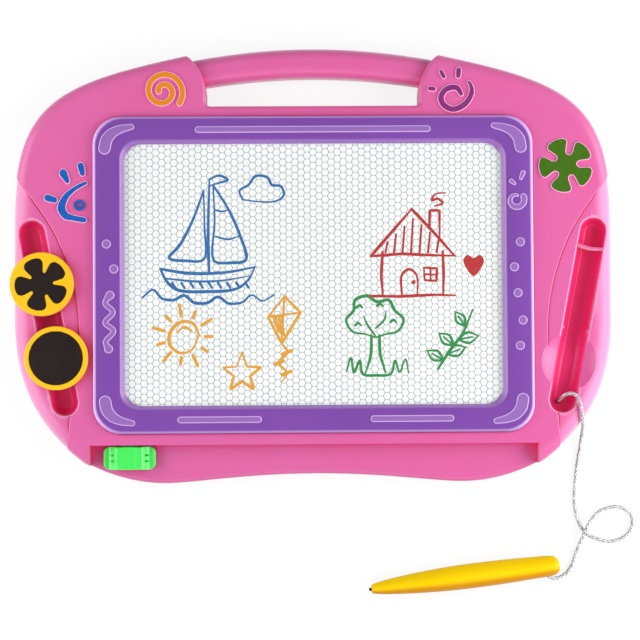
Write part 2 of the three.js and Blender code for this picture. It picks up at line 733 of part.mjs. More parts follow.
// Closed ring with a crowned top; its inner edge comes down to the film
function bezelBody(rise) {
  const crest = bezelTop + bezelCrown;
  const lipTop = panelTop + seat;
  const under = bezelTop - bezelRise / 2;
  const top = [
    [0, bezelTop - bezelEdge], [bezelEdge / 4, bezelTop - bezelEdge / 4], [bezelEdge, bezelTop],
    [bezelBand / 3, crest - bezelCrown / 5], [bezelBand / 2, crest], [bezelBand - 3 * bezelEdge, bezelTop],
    [bezelBand - bezelEdge, bezelTop - bezelEdge], [bezelBand, lipTop + bezelEdge],
  ].map(([distance, height]) => [distance, height + rise]);
  const rings = [
    [0, pocketFloor + seat], ...top, [bezelBand, lipTop], [bezelBand - bezelWall, lipTop],
    [bezelBand - bezelWall, under], [bezelWall, under], [bezelWall, pocketFloor + seat],
  ];
  return solid(loft(rings.map(([distance, height]) => bezelRing(distance, height)), true));
}

function screenBezel() {
  const reliefInset = bezelBand / 2;
  const topY = screenY + bezelHalf.y - reliefInset;
  const bottomY = screenY - bezelHalf.y + reliefInset;
  const bars = [
    [vector(-topBarHalf, topY), vector(topBarHalf, topY)],
    [vector(bottomBarStart, bottomY), vector(bottomBarEnd, bottomY)],
    [vector(-bottomBarEnd, bottomY), vector(-bottomBarStart, bottomY)],
  ].map((line) => band(line, [reliefWidth, reliefWidth]));
  const crescents = [[1, 1], [-1, 1], [1, -1], [-1, -1]].map(([sideX, sideY]) => {
    const line = crescentTurns.map((turn) => {
      const angle = turn * Math.PI;
      const corner = bezelHalf.clone().subScalar(bezelCorner);
      return vector(
        sideX * (corner.x + crescentRadius * Math.cos(angle)),
        screenY + sideY * (corner.y + crescentRadius * Math.sin(angle)),
      );
    });
    return band(line, crescentWidthShares.map((share) => crescentWidth * share));
  });
  const reliefs = union([...bars, ...crescents].map((outline) => (
    prism(outline, bezelTop - bezelEdge / 2, bezelTop + overrun)
  )));
  return bezelBody(0).add(bezelBody(bezelRelief).intersect(reliefs));
}

function placed(shape, centre) {
  return shape.map((point) => vector(centre.x + emblemRadius * point.x, centre.y + emblemRadius * point.y));
}

function sharePoints(shares) {
  return shares.map(([x, y]) => vector(x, y));
}

function flowerOutline(radius) {
  const points = [];
  for (let petal = 0; petal < 5; petal++) {
    for (const [share, degrees] of petalShares) {
      const angle = THREE.MathUtils.degToRad(flowerTurn + degrees + petal * 72);
      points.push(new THREE.Vector3(radius * share * Math.cos(angle), radius * share * Math.sin(angle), 0));
    }
  }
  const curve = new THREE.CatmullRomCurve3(points, true, "centripetal");
  return curve.getPoints(points.length).slice(1).map(({ x, y }) => vector(x, y));
}

function emblemOutlines() {
  const spiral = spiralLine(...spiralRingShares, Math.PI, -3.1 * Math.PI, 26);
  const swirl = spiralLine(...swirlRingShares, 0.15 * Math.PI, 2.1 * Math.PI, 20);
  const arch = smoothLine(sharePoints(archShares), 14);
  const spiralPlace = vector(-peak.x - spiralRun, halfWidth * spiralRowShare);
  const swirlPlace = vector(peak.x + swirlRun, halfWidth * swirlRowShare);
  return [
    placed(band(spiral, [spiralBandShare, spiralBandShare]), spiralPlace),
    placed(band(swirl, swirlBandShares), swirlPlace),
    ...swirlDashShares.map((dash) => placed(band(sharePoints(dash), dashBandShares), swirlPlace)),
    placed(band(arch, archBandShares), archPlace),
    ...archDashShares.map((dash) => placed(band(sharePoints(dash), dashBandShares), archPlace)),
    moved(flowerOutline(blossomRadius), boardPoint(blossomPlaceShares)),
  ];
}

function emblemBodies() {
  const raise = (outline) => prism(outline, pocketFloor + wall, housingTop + emblemRise);
  const [outer, inner] = archRingShares.map((share) => (
    raise(placed(circle(vector(...archDotShares), share, 12), archPlace))
  ));
  return union(emblemOutlines().map(raise)).add(solid(outer).subtract(solid(inner)));
}

// Carrier, strip and knob are made at the middle of their way and put at its left end
function eraserPieces() {
  const carrierHalf = carrierWidth / 2;
  const lowY = screenY - railOffset - carrierOverhang;
  const highY = screenY + railOffset + carrierOverhang;
  const stripHalf = windowHalf.y - stripMargin;
  const channelHalf = stripHalf + seat + channelWall;
  const knobBack = riserY - knobGap;
  const neckEnd = knobBack - knobWidth * neckEndShare;
  const lugs = [-1, 1].flatMap((side) => [-1, 1].map((face) => {
    const inner = screenY + side * railOffset + face * (railThickness / 2 + seat);
    const outer = inner + face * lugThickness;
    return box(
      [-carrierHalf, Math.min(inner, outer), carrierBottom - lugHeight],
      [carrierHalf, Math.max(inner, outer), carrierBottom + channelWall],
    );
  }));
  const channel = solid(box(
    [-carrierHalf, screenY - channelHalf, carrierTop - channelWall],
    [carrierHalf, screenY + channelHalf, carrierTop + channelHeight],
  )).subtract(solid(box(
    [-stripWidth / 2 - seat, screenY - stripHalf - seat, carrierTop],
    [stripWidth / 2 + seat, screenY + stripHalf + seat, housingTop],
  )));
  const carrier = union([
    box([-carrierHalf, lowY, carrierBottom], [carrierHalf, highY, carrierTop]),
    box([-neckWidth / 2, neckEnd, neckBottom], [neckWidth / 2, lowY + channelWall, carrierTop]),
    ...lugs,
  ]).add(channel);
  const strip = box(
    [-stripWidth / 2, screenY - stripHalf, carrierTop], [stripWidth / 2, screenY + stripHalf, stripTop],
  );

  const knobBottom = footTop + rub;
  const saddleHalf = knobShares.map(([across, up]) => (
    vector(across * knobLength / 2, knobBottom + up * knobHeight)
  ));
  const saddleOutline = withMirror(saddleHalf.reverse());
  const saddle = prism(saddleOutline, -knobBack - overrun, boardWidth).rotateX(Math.PI / 2);
  const knobHalf = vector(knobLength / 2, knobWidth / 2);
  const plan = roundedRectangle(knobHalf, knobCorner, knobBack - knobHalf.y, 4);
  const rounded = slab(plan, [
    [seat, knobBottom], [0, knobBottom + seat], ...roundTop(knobEdge, knobEdge, knobBottom + knobHeight, 3),
  ]);
  const socket = box(
    [-neckWidth / 2 - seat, neckEnd - seat, knobBottom - overrun],
    [neckWidth / 2 + seat, knobBack + overrun, carrierTop + seat],
  );
  const grooves = [-1, 1].flatMap((side) => [-1, 1].map((row) => {
    const ends = grooveReachShares.map((share) => (side * share * knobLength) / 2);
    const middleY = knobBack - knobHalf.y + (row * grooveSpacing) / 2;
    return box(
      [Math.min(...ends), middleY - grooveWidth / 2, knobBottom + knobHeight * grooveFloorShare],
      [Math.max(...ends), middleY + grooveWidth / 2, knobBottom + knobHeight + overrun],
    );
  }));
  const knob = solid(saddle).intersect(solid(rounded)).subtract(union([socket, ...grooves]));
  const rest = [-eraserReach, 0, 0];
  return [
    geometryOf(carrier).translate(...rest), strip.translate(...rest), geometryOf(knob).translate(...rest),
  ];
}

// Revolved body from rings of radius and height
function revolved(centre, rings, sides) {
  return loft(rings.map(([radius, height]) => ({ outline: circle(centre, radius, sides), height })));
}

function stampBody(centre, rings) {
  const stampTop = stampBottom + stampThickness;
  const grip = gripShares.map(([across, up]) => [
    gripRadius * across, stampBottom - gripHeight * (1 - up),
  ]);
  return revolved(centre, [
    ...grip, [stampRadius - stampEdge, stampBottom], [stampRadius, stampBottom + stampEdge],
    [stampRadius, stampTop - stampEdge], [stampRadius - stampEdge, stampTop], ...rings,
  ], 24);
}

function stampPieces() {
  const magnetTop = stampBottom + stampThickness + magnetProud;
  const magnetFoot = magnetTop - magnetThickness;
  const [flowerPlace, roundPlace] = [flowerStampShare, roundStampShare].map((share) => {
    const place = trayPoint(share);
    return vector(stampPlay - place.x, place.y);
  });
  const seatRadius = roundMagnetRadius + seat;
  const roundBody = stampBody(roundPlace, [[seatRadius, magnetTop - magnetProud], [seatRadius, magnetFoot]]);
  const roundMagnet = prism(circle(roundPlace, roundMagnetRadius, 24), magnetFoot, magnetTop);
  const flower = moved(flowerOutline(flowerMagnetRadius), flowerPlace);
  const flowerSeat = prism(inset(flower, -seat), magnetFoot, housingTop + boardWidth);
  const flowerBody = geometryOf(solid(stampBody(flowerPlace, [])).subtract(solid(flowerSeat)));
  return [flowerBody, prism(flower, magnetFoot, magnetTop), roundBody, roundMagnet];
}

// The pen's section is round with three soft ridges; it lies on the flat opposite the upper one
function penSection(radius) {
  return Array.from({ length: 18 }, (_, i) => {
    const angle = (2 * Math.PI * i) / 18;
    const reach = radius * (1 + penEdgeShare * Math.cos(3 * (angle - Math.PI / 2)));
    return vector(reach * Math.cos(angle), reach * Math.sin(angle));
  });
}

function penPieces() {
  const rings = penShares.map(([along, across]) => (
    { outline: penSection(penRadius * across), height: penLength * along }
  ));
  const axisHeight = -Math.min(...rings.flatMap(({ outline }) => outline.map((point) => point.y)));
  const boreEnd = nibLength - nibProud + seat;
  const nib = cylinder(vector(0, 0), nibRadius, -nibProud, nibLength - nibProud);
  const bore = cylinder(vector(0, 0), nibRadius + seat, -overrun, boreEnd);
  const place = (geometry) => alongX(geometry).rotateZ(THREE.MathUtils.degToRad(penTurn))
    .translate(penTipX, penTipY, axisHeight);
  const [nearEnd, atEnd] = cordWay.slice(-2).map((point) => new THREE.Vector3(...point));
  const heading = atEnd.clone().sub(nearEnd).normalize();
  const turn = new THREE.Quaternion().setFromUnitVectors(new THREE.Vector3(0, 0, 1), heading);
  const cordBore = cylinder(vector(0, 0), cordHoleDiameter / 2, -overrun, seat)
    .applyQuaternion(turn).translate(atEnd.x, atEnd.y, atEnd.z);
  const barrel = solid(place(loft(rings))).subtract(solid(place(bore))).subtract(solid(cordBore));
  return [geometryOf(barrel), place(nib)];
}

// The cord is one tube along its way
function penCord() {
  const points = cordWay.map((point) => new THREE.Vector3(...point));
  const way = new THREE.CatmullRomCurve3(points, false, "centripetal");
  const section = new THREE.Shape(circle(vector(0, 0), cordDiameter / 2, 8));
  return new THREE.ExtrudeGeometry(section, { steps: cordSteps, extrudePath: way, bevelEnabled: false });
}

function cordKnot() {
  const top = cordWay[0][2] - seat;
  const foot = top - knotHeight;
  return revolved(cordHole, [
    [knotRadius / 2, foot], [knotRadius, foot + knotHeight / 3], [knotRadius, top - knotHeight / 3],
    [knotRadius / 2, top],
  ], 10);
}

function screw(place) {
  const seatHeight = screwSink + screwHeadHeight;
  return revolved(place, [
    [screwHeadRadius - seat, screwSink], [screwHeadRadius, screwSink + seat], [screwHeadRadius, seatHeight],
    [screwShankRadius, seatHeight], [screwShankRadius, screwTip - screwShankRadius],
    [screwShankRadius / 3, screwTip],
  ], 8);
}

function plastic(color, roughness = 0.35) {
  return new THREE.MeshStandardMaterial({ color, roughness, metalness: 0 });
}

const pink = plastic("#e9589f");
const purple = plastic("#8a4fb0");
const green = plastic("#2fd64a");
const yellow = plastic("#ffc21e");
const penYellow = plastic("#ffc905");
const film = plastic("#f2f4f2", 0.2);
const cells = plastic("#dfe4e0", 0.6);
const carbon = plastic("#2b201e", 0.6);
const braid = plastic("#c9ccd0", 0.5);
const steel = new THREE.MeshStandardMaterial({ color: "#b4b6b9", roughness: 0.35, metalness: 1 });

function panelLayer(bottom, thickness) {
  return prism(roundedRectangle(panelHalf, panelCorner, screenY, 3), bottom, bottom + thickness);
}

const [eraserCarrier, eraserStrip, eraserKnob] = eraserPieces();
const [flowerBody, flowerMagnet, roundBody, roundMagnet] = stampPieces();
const [penBarrel, penNib] = penPieces();
const pieces = {
  front_housing: [geometryOf(frontHousing()), pink],
  back_cover: [geometryOf(backCover()), pink],
  screen_bezel: [geometryOf(screenBezel()), purple],
  front_film: [panelLayer(pocketFloor + filmThickness + coreThickness, filmThickness), film],
  honeycomb_core: [panelLayer(pocketFloor + filmThickness, coreThickness), cells],
  back_film: [panelLayer(pocketFloor, filmThickness), film],
  eraser_knob: [eraserKnob, green],
  eraser_carrier: [eraserCarrier, green],
  eraser_magnet: [eraserStrip, carbon],
  stamp_flower_body: [flowerBody, yellow],
  stamp_flower_magnet: [flowerMagnet, carbon],
  stamp_round_body: [roundBody, yellow],
  stamp_round_magnet: [roundMagnet, carbon],
  pen_barrel: [penBarrel, penYellow],
  pen_nib: [penNib, carbon],
  pen_cord: [penCord(), braid],
  cord_knot: [cordKnot(), braid],
};
screwPlaces.forEach((place, i) => {
  pieces[`cover_screw_${i + 1}`] = [screw(place), steel];
});

const board = new THREE.Group();
for (const [name, [geometry, material]] of Object.entries(pieces)) {
  const mesh = new THREE.Mesh(geometry, material);
  mesh.name = name;
  board.add(mesh);
}

export default board;
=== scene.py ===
"""Magnetic drawing board for children, lying on a table with its pen beside it.

The sections follow the board as it is put together. Sizes are in millimetres in the frame of the CAD model,
and become metres when a mesh is made.
"""

import math
import random

import bmesh
import bpy
from mathutils import Matrix, Quaternion, Vector


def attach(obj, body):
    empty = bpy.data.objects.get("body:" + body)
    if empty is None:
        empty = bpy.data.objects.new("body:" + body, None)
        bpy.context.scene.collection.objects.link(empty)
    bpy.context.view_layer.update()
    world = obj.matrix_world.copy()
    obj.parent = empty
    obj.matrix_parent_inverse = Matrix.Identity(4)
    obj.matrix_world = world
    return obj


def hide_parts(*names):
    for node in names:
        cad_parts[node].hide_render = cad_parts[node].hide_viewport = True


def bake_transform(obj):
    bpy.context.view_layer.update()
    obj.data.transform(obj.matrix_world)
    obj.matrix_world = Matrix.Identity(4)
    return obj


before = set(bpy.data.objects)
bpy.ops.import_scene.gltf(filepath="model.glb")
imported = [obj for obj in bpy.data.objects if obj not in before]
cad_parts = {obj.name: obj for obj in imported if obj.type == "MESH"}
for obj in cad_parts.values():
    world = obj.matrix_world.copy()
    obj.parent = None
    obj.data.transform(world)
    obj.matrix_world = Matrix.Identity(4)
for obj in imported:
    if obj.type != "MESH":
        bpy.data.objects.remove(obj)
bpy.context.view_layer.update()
MM = 0.001
scene = bpy.context.scene
scene.view_settings.view_transform = "Standard"

# Camera: almost straight above the board. It leans a little towards the foot of the board and the pen tray,
# and its long lens keeps the sides of the bezel nearly parallel.
camera_target = Vector((4.3, -37.9, 10.0))
camera_distance = 1100.0
camera_lean, camera_side, camera_roll = (math.radians(turn) for turn in (1.6, -0.8, -0.36))

camera_data = bpy.data.cameras.new("camera")
camera_data.lens = 90.2
camera_data.sensor_width = 36.0
camera = bpy.data.objects.new("camera", camera_data)
scene.collection.objects.link(camera)
camera_away = Vector((
    math.sin(camera_side), -math.sin(camera_lean), math.cos(camera_lean) * math.cos(camera_side),
)).normalized()
camera_right = Vector((0, 1, 0)).cross(camera_away).normalized()
camera_axes = Matrix((camera_right, camera_away.cross(camera_right), camera_away)).transposed()
camera.location = (camera_target + camera_away * camera_distance) * MM
camera.rotation_mode = "QUATERNION"
camera.rotation_quaternion = camera_axes.to_quaternion() @ Quaternion((0, 0, 1), camera_roll)
scene.camera = camera

# Pen cord: thin braided cord with a silver finish. It comes up through the floor of the pen tray, lies over
# the board's edge and in one loop on the table, and goes into the pen's tail. A knot holds it under the
# tray.
cord_way = (
    (167.4, -94.3, 6.7), (167.4, -94.3, 9.5), (167.7, -93.8, 12.6), (168.8, -92, 16.2), (170.7, -90.1, 19.2),
    (173, -89.1, 21.2), (175.5, -89.3, 22.5), (177.7, -90.6, 23.1), (179.3, -92.8, 23.2),
    (180.3, -95.6, 22.8), (181.3, -98.8, 21.8), (182.1, -102.4, 20.5), (182.6, -106.3, 18.5),
    (183.9, -111, 12.5), (184.3, -114.9, 8), (184.1, -120.3, 4.2), (183.3, -127.4, 2.2), (182.1, -135, 1.4),
    (180.9, -142.8, 1.3), (179.8, -153, 1.3), (179.3, -160.6, 1.3), (179.6, -168.1, 1.3),
    (180.7, -173.9, 1.3), (183.4, -181, 1.3), (187.4, -186.2, 1.3), (193, -189.2, 1.3), (198.6, -191, 1.3),
    (204.4, -191.7, 1.3), (210.2, -190.4, 1.3), (215, -187.7, 1.3), (218.3, -183.3, 1.3),
    (219.4, -178.2, 1.3), (218.5, -173.5, 1.3), (215, -170.1, 1.3), (210.4, -168.1, 1.3),
    (206.1, -167.9, 1.3), (201.6, -168.9, 1.5), (196.6, -171, 2.1), (192.3, -174.4, 3.2), (189, -178.4, 4.2),
    (186.5, -182.9, 4.5), (184.4, -188.2, 3.6), (181.9, -194.2, 2.2), (179.9, -199.5, 1.5),
    (178.4, -204.6, 1.3), (176.3, -209.4, 1.3), (173.2, -213.3, 1.3), (168.9, -216, 1.6),
    (164.4, -216.5, 2.8), (160, -214.7, 4.4),
)
cord_radius = 1.2
cord_clearance = 0.05  # above the table
cord_step = 0.34  # from one ring of points to the next
cord_sides = 28
braid_depth = 0.2
braid_pitch = 3.4  # length of one turn of a strand
braid_strands = 4  # in each direction


def smooth_line(points, steps, closed=False):
    """A centripetal Catmull-Rom curve through points of any dimension, with steps in each span."""
    count = len(points)
    result = []
    for span in range(count if closed else count - 1):
        p1, p2 = points[span], points[(span + 1) % count]
        p0 = points[span - 1] if closed or span else p1 * 2 - p2
        p3 = points[(span + 2) % count] if closed or span + 2 < count else p2 * 2 - p1
        d0, d1, d2 = (math.sqrt((q - p).length) or 1.0 for p, q in ((p0, p1), (p1, p2), (p2, p3)))
        leave = ((p1 - p0) / d0 - (p2 - p0) / (d0 + d1) + (p2 - p1) / d1) * d1
        arrive = ((p2 - p1) / d1 - (p3 - p1) / (d1 + d2) + (p3 - p2) / d2) * d1
        for step in range(steps):
            t = step / steps
            a = p1 * (2 * t**3 - 3 * t**2 + 1) + leave * (t**3 - 2 * t**2 + t)
            result.append(a + p2 * (3 * t**2 - 2 * t**3) + arrive * (t**3 - t**2))
    if not closed:
        result.append(points[-1].copy())
    return result


def mesh_from(work):
    """The mesh of a finished bmesh, with its faces turned outwards."""
    bmesh.ops.recalc_face_normals(work, faces=work.faces)
    mesh = bpy.data.meshes.new("body")
    work.to_mesh(mesh)
    work.free()
    return mesh


def skinned(rings, looped=False, marks=None, mark="lip"):
    """A closed body: each ring of points is extruded from the one before, and the two ends are filled.

    Marks hold a list of values for each ring, which materials read under the name in mark.
    """
    work = bmesh.new()
    layer = work.verts.layers.float.new(mark)
    first = ring = [work.verts.new() for _ in rings[0]]
    ends = edges = [work.edges.new((ring[i - 1], vertex)) for i, vertex in enumerate(ring)]
    for number, places in enumerate(rings + rings[:1] if looped else rings):
        if number:
            grown = bmesh.ops.extrude_edge_only(work, edges=edges)["geom"]
            fresh = {part for part in grown if isinstance(part, bmesh.types.BMVert)}
            ring = [next(e.other_vert(v) for e in v.link_edges if e.other_vert(v) in fresh) for v in ring]
            edges = [work.edges.get((ring[i - 1], vertex)) for i, vertex in enumerate(ring)]
        for i, vertex in enumerate(ring):
            vertex.co = Vector(places[i]) * MM
            if marks:
                vertex[layer] = marks[number % len(rings)][i]
    if looped:
        bmesh.ops.weld_verts(work, targetmap=dict(zip(ring, first)))
    else:
        bmesh.ops.edgeloop_fill(work, edges=ends + edges)
    return mesh_from(work)


def link(name, mesh):
    piece = bpy.data.objects.new(name, mesh)
    scene.collection.objects.link(piece)
    return piece


def colour(code):
    """A colour code such as #EC63A8 in the linear values that shaders take."""
    channels = [int(code[i:i + 2], 16) / 255 for i in (1, 3, 5)]
    return (*[c / 12.92 if c <= 0.04045 else ((c + 0.055) / 1.055) ** 2.4 for c in channels], 1.0)


def repeats(size):
    """How many features of this size in millimetres a pattern has in a metre."""
    return 1 / (size * MM)


def plug(tree, target, sockets):
    """Gives a node's sockets their values, and links them where the value is another node's output."""
    for key, value in sockets.items():
        if isinstance(value, bpy.types.NodeSocket):
            tree.links.new(value, target.inputs[key])
        else:
            target.inputs[key].default_value = value


def add(tree, kind, sockets, **settings):
    """Adds a node with its settings and links, and gives its outputs."""
    made = tree.nodes.new("ShaderNode" + kind)
    for key, value in settings.items():
        setattr(made, key, value)
    plug(tree, made, sockets)
    return made.outputs


def varied(tree, pattern, low, high, first, second, most=1.0):
    """Goes from the first value or colour towards the second as a pattern rises from low to high."""
    tinted = isinstance(second, tuple)
    start, end = (0.0, most) if tinted else (first, second)
    share = add(tree, "MapRange", {
        "Value": pattern, "From Min": low, "From Max": high, "To Min": start, "To Max": end,
    }, interpolation_type="SMOOTHSTEP")["Result"]
    if tinted:
        share = add(tree, "Mix", {"Factor": share, "A": first, "B": second}, data_type="RGBA")["Result"]
    return share


def started(name, **values):
    """A new material, its tree, its shader with these values, and the place that its patterns are read at."""
    material = bpy.data.materials.new(name)
    material.use_nodes = True
    tree = material.node_tree
    shader = tree.nodes["Principled BSDF"]
    plug(tree, shader, {key.replace("_", " "): value for key, value in values.items()})
    return material, tree, shader, add(tree, "TexCoord", {})["Object"]


def finish(piece, body, slot, material, *nodes):
    """Gives a piece its material, and lets it stand for its CAD nodes and ride on a body; the slot is not
    used.
    """
    piece.data.materials.clear()
    piece.data.materials.append(material)
    if nodes:
        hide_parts(*nodes)
    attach(piece, body)


def dress(node, material):
    """Gives a CAD node that stays its material."""
    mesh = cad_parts[node].data
    mesh.materials.clear()
    mesh.materials.append(material)


# Lurex yarn, a polyester thread with a metal film, braided: pale, each thread a random tone up to near white
# as a painted glint, and a darker grey painted in the grooves between the strands, a painted shade.
silver_braid, tree, shader, place = started("silver_lurex_braid", Metallic=0.1, Roughness=0.42)
threads = add(tree, "TexVoronoi", {"Vector": place, "Scale": repeats(1.11)})["Color"]
tone = varied(tree, threads, 0.3, 0.75, colour("#B9BDC2"), colour("#FAFBFC"))
# Painted shade: darker grey where the strands dip into the grooves between them
strand_height = add(tree, "Attribute", {}, attribute_name="braid_height")["Fac"]
groove = varied(tree, strand_height, -0.2, 0.6, 0.8, 0.0)
tone = add(tree, "Mix", {"Factor": groove, "A": tone, "B": colour("#6E7277")}, data_type="RGBA")["Result"]
fibres = add(tree, "TexNoise", {"Vector": place, "Scale": repeats(0.286), "Detail": 2})["Fac"]
relief = add(tree, "Bump", {"Height": fibres, "Distance": 0.05 * MM, "Strength": 0.6})["Normal"]
plug(tree, shader, {"Base Color": tone, "Normal": relief})

cord_bends = smooth_line([Vector(corner) for corner in cord_way], 24)
cord_line = [cord_bends[0]]
for bend in cord_bends:
    while (bend - cord_line[-1]).length > cord_step:
        cord_line.append(cord_line[-1] + (bend - cord_line[-1]).normalized() * cord_step)
cord_line.append(cord_bends[-1])
cord_line = [Vector((p.x, p.y, max(p.z, cord_radius + cord_clearance))) for p in cord_line]

cord_rings, strand_heights = [], []
cord_across, cord_run = Vector((1, 0, 0)), (cord_line[1] - cord_line[0]).normalized()
travelled = 0.0
for i, spot in enumerate(cord_line):
    ahead = (cord_line[min(i + 1, len(cord_line) - 1)] - cord_line[max(i - 1, 0)]).normalized()
    cord_across = cord_run.rotation_difference(ahead) @ cord_across
    cord_across = (cord_across - ahead * cord_across.dot(ahead)).normalized()
    cord_run = ahead
    cord_up = cord_run.cross(cord_across)
    if i:
        travelled += (spot - cord_line[i - 1]).length
    turn = math.tau * travelled / braid_pitch
    angles = [math.tau * k / cord_sides for k in range(cord_sides)]
    heights = [
        max(math.cos(braid_strands * angle + turn), math.cos(braid_strands * angle - turn))
        for angle in angles
    ]
    cord_rings.append([
        spot + (cord_across * math.cos(angle) + cord_up * math.sin(angle))
        * (cord_radius - braid_depth * (1 - height) / 2)
        for angle, height in zip(angles, heights)
    ])
    strand_heights.append(heights)
cord = link("pen_cord_braided", skinned(cord_rings, marks=strand_heights, mark="braid_height"))
cord.data.shade_smooth()
cord.data.materials.append(silver_braid)

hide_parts("pen_cord")
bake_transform(cord)
dress("cord_knot", silver_braid)

# Front housing: one large moulding of pink ABS with the handle, two lowered wings behind a crease, the
# trays of the stamps and of the pen, the lowered foot with the eraser's slot, and a seat for the screen.
# The raised bases of the four emblems are moulded with it. Screws from below hold it to the back cover.
half_length, half_width = 204.0, 149.0
wing_width = 54.5
bar_width = 20.4
wall = 2.2
seat = 0.3
overrun = 5.0  # how far a cutter reaches past what it cuts
seam_height = 6.0
housing_foot = seam_height + seat
housing_top, wing_top, bar_top = 22.0, 20.8, 17.0
body_edge, wing_edge, bar_edge = (9.0, 6.5), (15.0, 10.0), (8.0, 9.0)  # across and down
gap_half, gap_bottom, gap_top = 72.8, 108.0, 128.6
gap_corner = 3.0
gap_flare = 3.4, 2.6
bar_bow_under, bar_bow_over = 5.8, 6.2
bar_reach = 15.0  # of the handle into the shoulders
riser_y = -122.3
foot_half, foot_depth, foot_edge = 152.7, 26.7, 3.0
foot_top, foot_under, foot_fall = 12.9, 8.7, 2.0
crease_radius = 1.2
groove_width = 0.75
screen_y = -6.95
bezel_half = Vector((149.5, 107.55))
bezel_band, bezel_side_band = 18.6, 21.2
bezel_corner, opening_corner = 19.0, 12.0
bezel_top = 25.0
opening_half = bezel_half - Vector((bezel_side_band, bezel_band))
pocket_floor, pocket_under = 18.6, 16.4
wiped_half = opening_half + Vector((2.3, 0.0))
panel_half = wiped_half + Vector((9.0, 9.0))
window_half = wiped_half + Vector((6.0, 6.0))
rub = 0.4
tray_radius, tray_floor, tray_lip = 9.1, 9.0, 1.2
scoop_radius, scoop_depth, scoop_share = 19.0, 7.0, 0.778
rib_share, rib_sag, nub_share = 0.095, 1.0, 0.583
eraser_reach = 125.6
neck_half = 6.2
slot_play = 1.0  # at each end of the neck's way
slot_half = eraser_reach + neck_half + slot_play
slot_bottom, slot_top = 13.3, 16.5
screw_hole_radius, screw_hole_top = 1.7, 10.7
screw_boss_radius, screw_boss_foot = 3.8, 6.1
cord_hole_radius = 1.8
panel_corner, rim_thickness, rim_height = 4.0, 1.6, 1.8
rib_width, nub_radius = 1.6, 1.3
emblem_height = 0.9
emblem_rim = 0.55  # pink that shows round the paint

# Cubic curves down the right side, as shares of half the length and half the width
outline_shares = (
    ((0.425, 0.962), (0.868, 0.831), (1, 0.748), (1, 0.185)),
    ((1, 0.185), (1, 0.039), (1, -0.107), (1, -0.253)),
    ((1, -0.253), (1, -0.56), (0.912, -0.755), (0.765, -0.9035)),
    ((0.765, -0.9035), (0.685, -0.964), (0.589, -1), (0.4985, -1)),
    ((0.4985, -1), (0.404, -1), (0.236, -0.96), (0, -0.96)),
)
outline_steps = (40, 4, 30, 18, 20)
shoulder_shares = ((0, 0.23), (0, 0.53), (0.37, 0.83), (1, 1))
crease_shares = (
    (1.225, 0.55), (0.938, 0.389), (0.475, 0.136), (0.239, -0.115), (0.182, -0.342),
    (0.25, -0.57), (0.302, -0.698), (0.324, -0.826), (0.35, -1.05),
)
screw_shares = ((0.468, 0.832), (0.79, 0.577), (0.79, -0.765), (0.293, -0.9))


def point(x, y):
    return Vector((x, y))


def toward(angle, reach=1.0):
    return point(math.cos(angle), math.sin(angle)) * reach


def board_point(across, along):
    """A point from its shares of half the board's length and half its width."""
    return point(half_length * across, half_width * along)


def wing_point(across, along):
    """A point from its share across the wing and of half the board's width."""
    return point(bezel_half.x + wing_width * across, half_width * along)


def tray_point(share):
    return tray_top + tray_axis * share


def clamped(value):
    return max(0.0, min(1.0, value))


def bezier(corners, steps):
    a, b, c, d = corners
    shares = [step / steps for step in range(steps + 1)]
    return [a * (1 - t) ** 3 + b * 3 * t * (1 - t) ** 2 + c * 3 * t * t * (1 - t) + d * t**3 for t in shares]


def with_mirror(right_half):
    """Closes a right half, listed anticlockwise from the bottom up, with its mirror image."""
    return right_half + [point(-p.x, p.y) for p in reversed(right_half) if p.x > 1e-6]


def flipped(outline):
    return [point(-p.x, p.y) for p in reversed(outline)]


def moved(outline, offset):
    return [p + offset for p in outline]


def inset(outline, distance):
    """Moves every side of a closed anticlockwise outline inwards, or outwards where it is negative."""
    if abs(distance) < 1e-9:
        return outline
    result = []
    for i, corner in enumerate(outline):
        arriving = (corner - outline[i - 1]).normalized()
        leaving = (outline[(i + 1) % len(outline)] - corner).normalized()
        mitre = point(-arriving.y - leaving.y, arriving.x + leaving.x)
        result.append(corner + mitre * (distance / max(1 + arriving.dot(leaving), 0.4)))
    return result


def rounded_rectangle(half, corner, centre_y=0.0, steps=12):
    points = []
    for quarter, (side_x, side_y) in enumerate(((1, -1), (1, 1), (-1, 1), (-1, -1))):
        centre = point(side_x * (half.x - corner), centre_y + side_y * (half.y - corner))
        turns = [(quarter - 1 + step / steps) * math.pi / 2 for step in range(steps + 1)]
        points += [centre + toward(turn, corner) for turn in turns]
    return points


def circle(centre, radius, sides=48):
    return [centre + toward(math.tau * i / sides, radius) for i in range(sides)]


def stadium(start, end, radius, steps=24):
    heading = math.atan2(end.y - start.y, end.x - start.x)
    return [
        centre + toward(heading + (turn + step / steps) * math.pi, radius)
        for centre, turn in ((end, -0.5), (start, 0.5)) for step in range(steps + 1)
    ]


def band(line, widths, end_steps=8, reach=0.93):
    """A band of changing width along a line of points, with round ends.

    In a tight bend, points of its inner side that come nearer to the line than this share of its half width
    are left out.
    """
    last = len(line) - 1
    sides = []
    for i, p in enumerate(line):
        way = line[min(i + 1, last)] - line[max(i - 1, 0)]
        place = i / last * (len(widths) - 1)
        low = min(int(place), len(widths) - 2)
        width = widths[low] + (widths[low + 1] - widths[low]) * (place - low)
        sides.append((p, math.atan2(way.y, way.x), width / 2))

    def rim(side, turn):
        p, heading, radius = side
        return p + toward(heading + turn * math.pi, radius)

    def clear(spot):
        return all((spot - p).length > radius * reach for p, _, radius in sides)

    turns = [(k + 1) / end_steps for k in range(end_steps - 1)]
    outline = [rim(side, -0.5) for side in sides] + [rim(sides[-1], t - 0.5) for t in turns]
    outline += [rim(side, 0.5) for side in reversed(sides)] + [rim(sides[0], t + 0.5) for t in turns]
    return [spot for spot in outline if clear(spot)]


